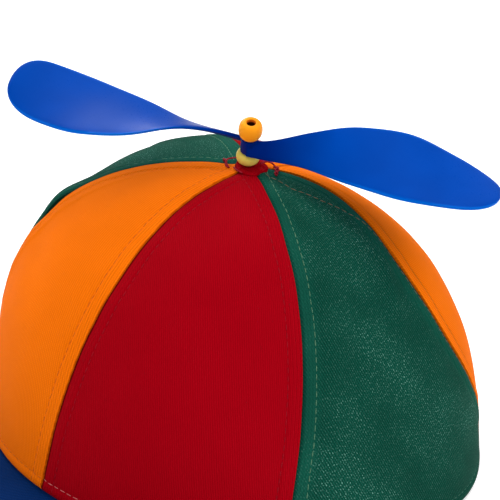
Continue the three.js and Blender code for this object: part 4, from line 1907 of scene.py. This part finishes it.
@dataclass(frozen=True)
class Studio:
    """The floor, the lights and the camera."""

    azimuth: float = 44.645
    elevation: float = 27.865
    roll: float = 1.07
    distance: float = 477.8
    lens: float = 97.42
    target: tuple[float, float, float] = (5.15, 40.46, 80.8)
    sensor: float = 36.0
    nearest: float = 0.01
    sky: float = 0.34
    floor_glow: float = 0.3
    floor_reach: float = 4.0
    floor_colours: tuple[Colour, Colour] = ((0.9, 0.9, 0.9), (0.94, 0.94, 0.94))
    floor_grain: float = 40.0
    lamps: tuple[Lamp, ...] = (
        Lamp("key", 40.0, 50.0, 5.9),
        Lamp("right", 124.0, 48.0, 10.0),
        Lamp("left", -35.0, 28.0, 3.4),
        Lamp("back", 250.0, 38.0, 13.0),
        Lamp("overhead", 200.0, 86.0, 7.5, distance=1.7, size=1.2),
    )

    def camera(self) -> None:
        """Places the camera as the photograph's stood."""
        back = direction(self.azimuth, self.elevation)
        data = bpy.data.cameras.new("photo_camera")
        data.lens = self.lens
        data.sensor_width = self.sensor
        data.clip_start = self.nearest
        camera = bpy.data.objects.new("photo_camera", data)
        bpy.context.scene.collection.objects.link(camera)
        camera.rotation_mode = "QUATERNION"
        turn = (-back).to_track_quat("-Z", "Y")
        camera.rotation_quaternion = turn @ Quaternion((0.0, 0.0, 1.0), math.radians(self.roll))
        camera.location = (Vector(self.target) + back * self.distance) * MM
        bpy.context.scene.camera = camera

    def floor(self) -> None:
        """Lays the plain pale floor."""
        bm = bmesh.new()
        bmesh.ops.create_grid(bm, x_segments=4, y_segments=4, size=self.floor_reach)
        g = Graph("studio_floor")
        place = g.add("TexCoord").outputs["Object"]
        dark, light = (opaque(colour) for colour in self.floor_colours)
        g.feed(g.shader, {
            "Base Color": g.mix(g.noise(place, self.floor_grain, 2.0), dark, light),
            "Roughness": 0.9,
            "Specular IOR Level": 0.1,
            "Emission Color": (1.0, 1.0, 1.0, 1.0),
            "Emission Strength": self.floor_glow,
        })
        floor = finished("studio_floor", bm, [g.material])

    def light(self) -> None:
        """Lights the scene evenly, with a soft key from above."""
        world = bpy.data.worlds.new("studio")
        world.use_nodes = True
        background = world.node_tree.nodes["Background"]
        background.inputs[0].default_value = (1.0, 1.0, 1.0, 1.0)
        background.inputs[1].default_value = self.sky
        bpy.context.scene.world = world
        bpy.context.scene.view_settings.view_transform = "Standard"
        for lamp in self.lamps:
            lamp.hang(Vector(self.target) * MM)


# Each twill's darker colour is painted shade for the hollows between its ribs.
CRIMSON = Twill(
    "crimson_twill", base=(0.35, 0.0006, 0.006), rib=(0.24, 0.0004, 0.004), lint=(0.45, 0.02, 0.03),
    rib_angle=-15.0, rib_spacing=0.72, rib_contrast=0.6, yarn_break=0.15, lint_amount=0.12, tone=0.05)
ORANGE = Twill(
    "orange_twill", base=(0.9, 0.175, 0.002), rib=(0.7, 0.11, 0.001), lint=(0.98, 0.3, 0.02),
    rib_angle=-18.0, rib_spacing=0.88, rib_contrast=0.6, yarn_break=0.3, lint_amount=0.25, tone=0.05)
GREEN = Twill(
    "green_twill", base=(0.0055, 0.076, 0.05), rib=(0.0005, 0.023, 0.014), lint=(0.2, 0.46, 0.37),
    rib_angle=-13.0, rib_spacing=0.95, rib_contrast=0.7, yarn_break=0.35, lint_amount=0.55, tone=0.2,
    edge_calm=0.25)
NAVY = Twill(
    "navy_twill", base=(0.002, 0.022, 0.11), rib=(0.001, 0.011, 0.06), lint=(0.02, 0.08, 0.25),
    rib_angle=40.0, rib_spacing=0.8, rib_contrast=0.6, yarn_break=0.3, lint_amount=0.2)

BLUE_PLASTIC = BladePlastic(
    "blade_plastic", base=(0.0, 0.055, 0.375), deep=(0.0, 0.049, 0.34), roughness=0.32, gloss=0.09, glow=0.0)
ORANGE_PLASTIC = BeadPlastic(
    "orange_bead_plastic", base=(0.95, 0.36, 0.015), deep=(0.9, 0.29, 0.01), roughness=0.34, glow=0.15)
YELLOW_PLASTIC = BeadPlastic(
    "yellow_bead_plastic", base=(0.82, 0.66, 0.13), deep=(0.76, 0.58, 0.1), roughness=0.34, glow=0.15)
POST_PLASTIC = Plastic(
    "post_plastic", base=(0.02, 0.012, 0.01), deep=(0.03, 0.02, 0.015), roughness=0.5, gloss=0.1, glow=0.0)

PALE_GREEN_THREAD = Thread("pale_green_thread", (0.13, 0.26, 0.15), (0.07, 0.18, 0.11))
GREEN_THREAD = Thread("green_thread", (0.04, 0.15, 0.1), (0.02, 0.09, 0.06))
TAN_THREAD = Thread("tan_thread", (0.22, 0.14, 0.08), (0.12, 0.1, 0.06))
BRIGHT_ORANGE_THREAD = Thread("bright_orange_thread", (0.92, 0.26, 0.01), (0.8, 0.17, 0.004))
ORANGE_THREAD = Thread("orange_thread", (0.62, 0.12, 0.004), (0.48, 0.085, 0.003))
CRIMSON_THREAD = Thread("crimson_thread", (0.33, 0.003, 0.012), (0.24, 0.002, 0.008))
PINK_THREAD = Thread("pink_thread", (0.62, 0.2, 0.18), (0.46, 0.08, 0.09))
TACK_THREAD = Thread("tack_thread", (0.4, 0.012, 0.03), (0.2, 0.003, 0.012))
NAVY_THREAD = Thread("navy_thread", (0.003, 0.024, 0.1), (0.002, 0.014, 0.06))


def crown_panels() -> list[tuple[CrownPanel, tuple[Thread, Thread, Thread]]]:
    """The six panels from the front seam round.

    Returns:
        Each panel, with the threads of its first seam, its last seam and its rim.
    """
    rows = (
        ("panel_front_left", (Lap.UNDER, Lap.OVER), (CRIMSON_THREAD, CRIMSON_THREAD, PINK_THREAD)),
        ("panel_side_left", (Lap.UNDER, Lap.UNDER), (PALE_GREEN_THREAD, TAN_THREAD, GREEN_THREAD)),
        ("panel_back_left", (Lap.OVER, Lap.OVER), (ORANGE_THREAD, ORANGE_THREAD, ORANGE_THREAD)),
        ("panel_back_right", (Lap.UNDER, Lap.UNDER), (CRIMSON_THREAD, CRIMSON_THREAD, PINK_THREAD)),
        ("panel_side_right", (Lap.OVER, Lap.UNDER), (PALE_GREEN_THREAD, PALE_GREEN_THREAD, GREEN_THREAD)),
        ("panel_front_right", (Lap.OVER, Lap.OVER), (BRIGHT_ORANGE_THREAD, ORANGE_THREAD, ORANGE_THREAD)),
    )
    cloths = (("twill_crimson", CRIMSON), ("twill_green", GREEN), ("twill_orange", ORANGE))
    special = {
        "panel_side_left": {
            "folds": (
                Fold(-0.37, 0.42, 20.0, 4.0, -0.6, -25.0),
                Fold(0.6, 0.6, 18.0, 2.6, 0.5, -12.0),
                Fold(0.75, 0.55, 22.0, 3.5, -0.4, -10.0),
            ),
            "last_row": ((0, 5.0), (6, 9.0), (14, 12.0), (22, 9.6), (29, 5.8), (36, 2.6), (44, 1.7)),
        },
        "panel_back_left": {"stitch_offset": 3.9, "furrow_shade": 0.75},
        "panel_side_right": {"folds": (Fold(0.76, 0.52, 9.0, 40.0, 1.7, 24.0),)},
        "panel_front_right": {"folds": (Fold(-0.9, 0.5, 7.0, 50.0, -0.8, -15.0),)},
    }
    panels = []
    for index, (name, laps, threads) in enumerate(rows):
        slot, twill = cloths[index % len(cloths)]
        neighbours = (rows[index - 1][0], rows[(index + 1) % len(rows)][0])
        settings = {"seed": 1.0 + index, **special.get(name, {})}
        panels.append((CrownPanel(name, index, slot, twill, laps, neighbours, **settings), threads))
    return panels


def main() -> None:
    """Builds the cap's pieces in order and dresses the scene."""
    logging.basicConfig(level=logging.INFO, format="%(message)s")
    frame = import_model()
    form = CrownForm()
    placing = Placing.from_joint(frame["joints"][0], form)
    studio = Studio()
    studio.camera()
    for panel, threads in crown_panels():
        panel.build(form, placing)
        panel.topstitch(threads)
    peak = Peak(NAVY, NAVY_THREAD)
    peak.build(form, placing)
    peak.topstitch()
    ClothNeck(CRIMSON).build(form, placing)
    TackThreads(TACK_THREAD).build(form, placing)
    Bead("lower_bead", "base_bead", "bead_yellow", YELLOW_PLASTIC, start=1.5, length=4.4).build(placing)
    Propeller(BLUE_PLASTIC, start=6.25).build(placing)
    Bead("upper_bead", "top_bead", "bead_orange", ORANGE_PLASTIC, start=12.8, length=6.6).build(placing)
    spindle = frame["nodes"]["spindle"]
    spindle.data.materials.clear()
    spindle.data.materials.append(POST_PLASTIC.material())
    studio.floor()
    studio.light()


if __name__ == "__main__":
    main()
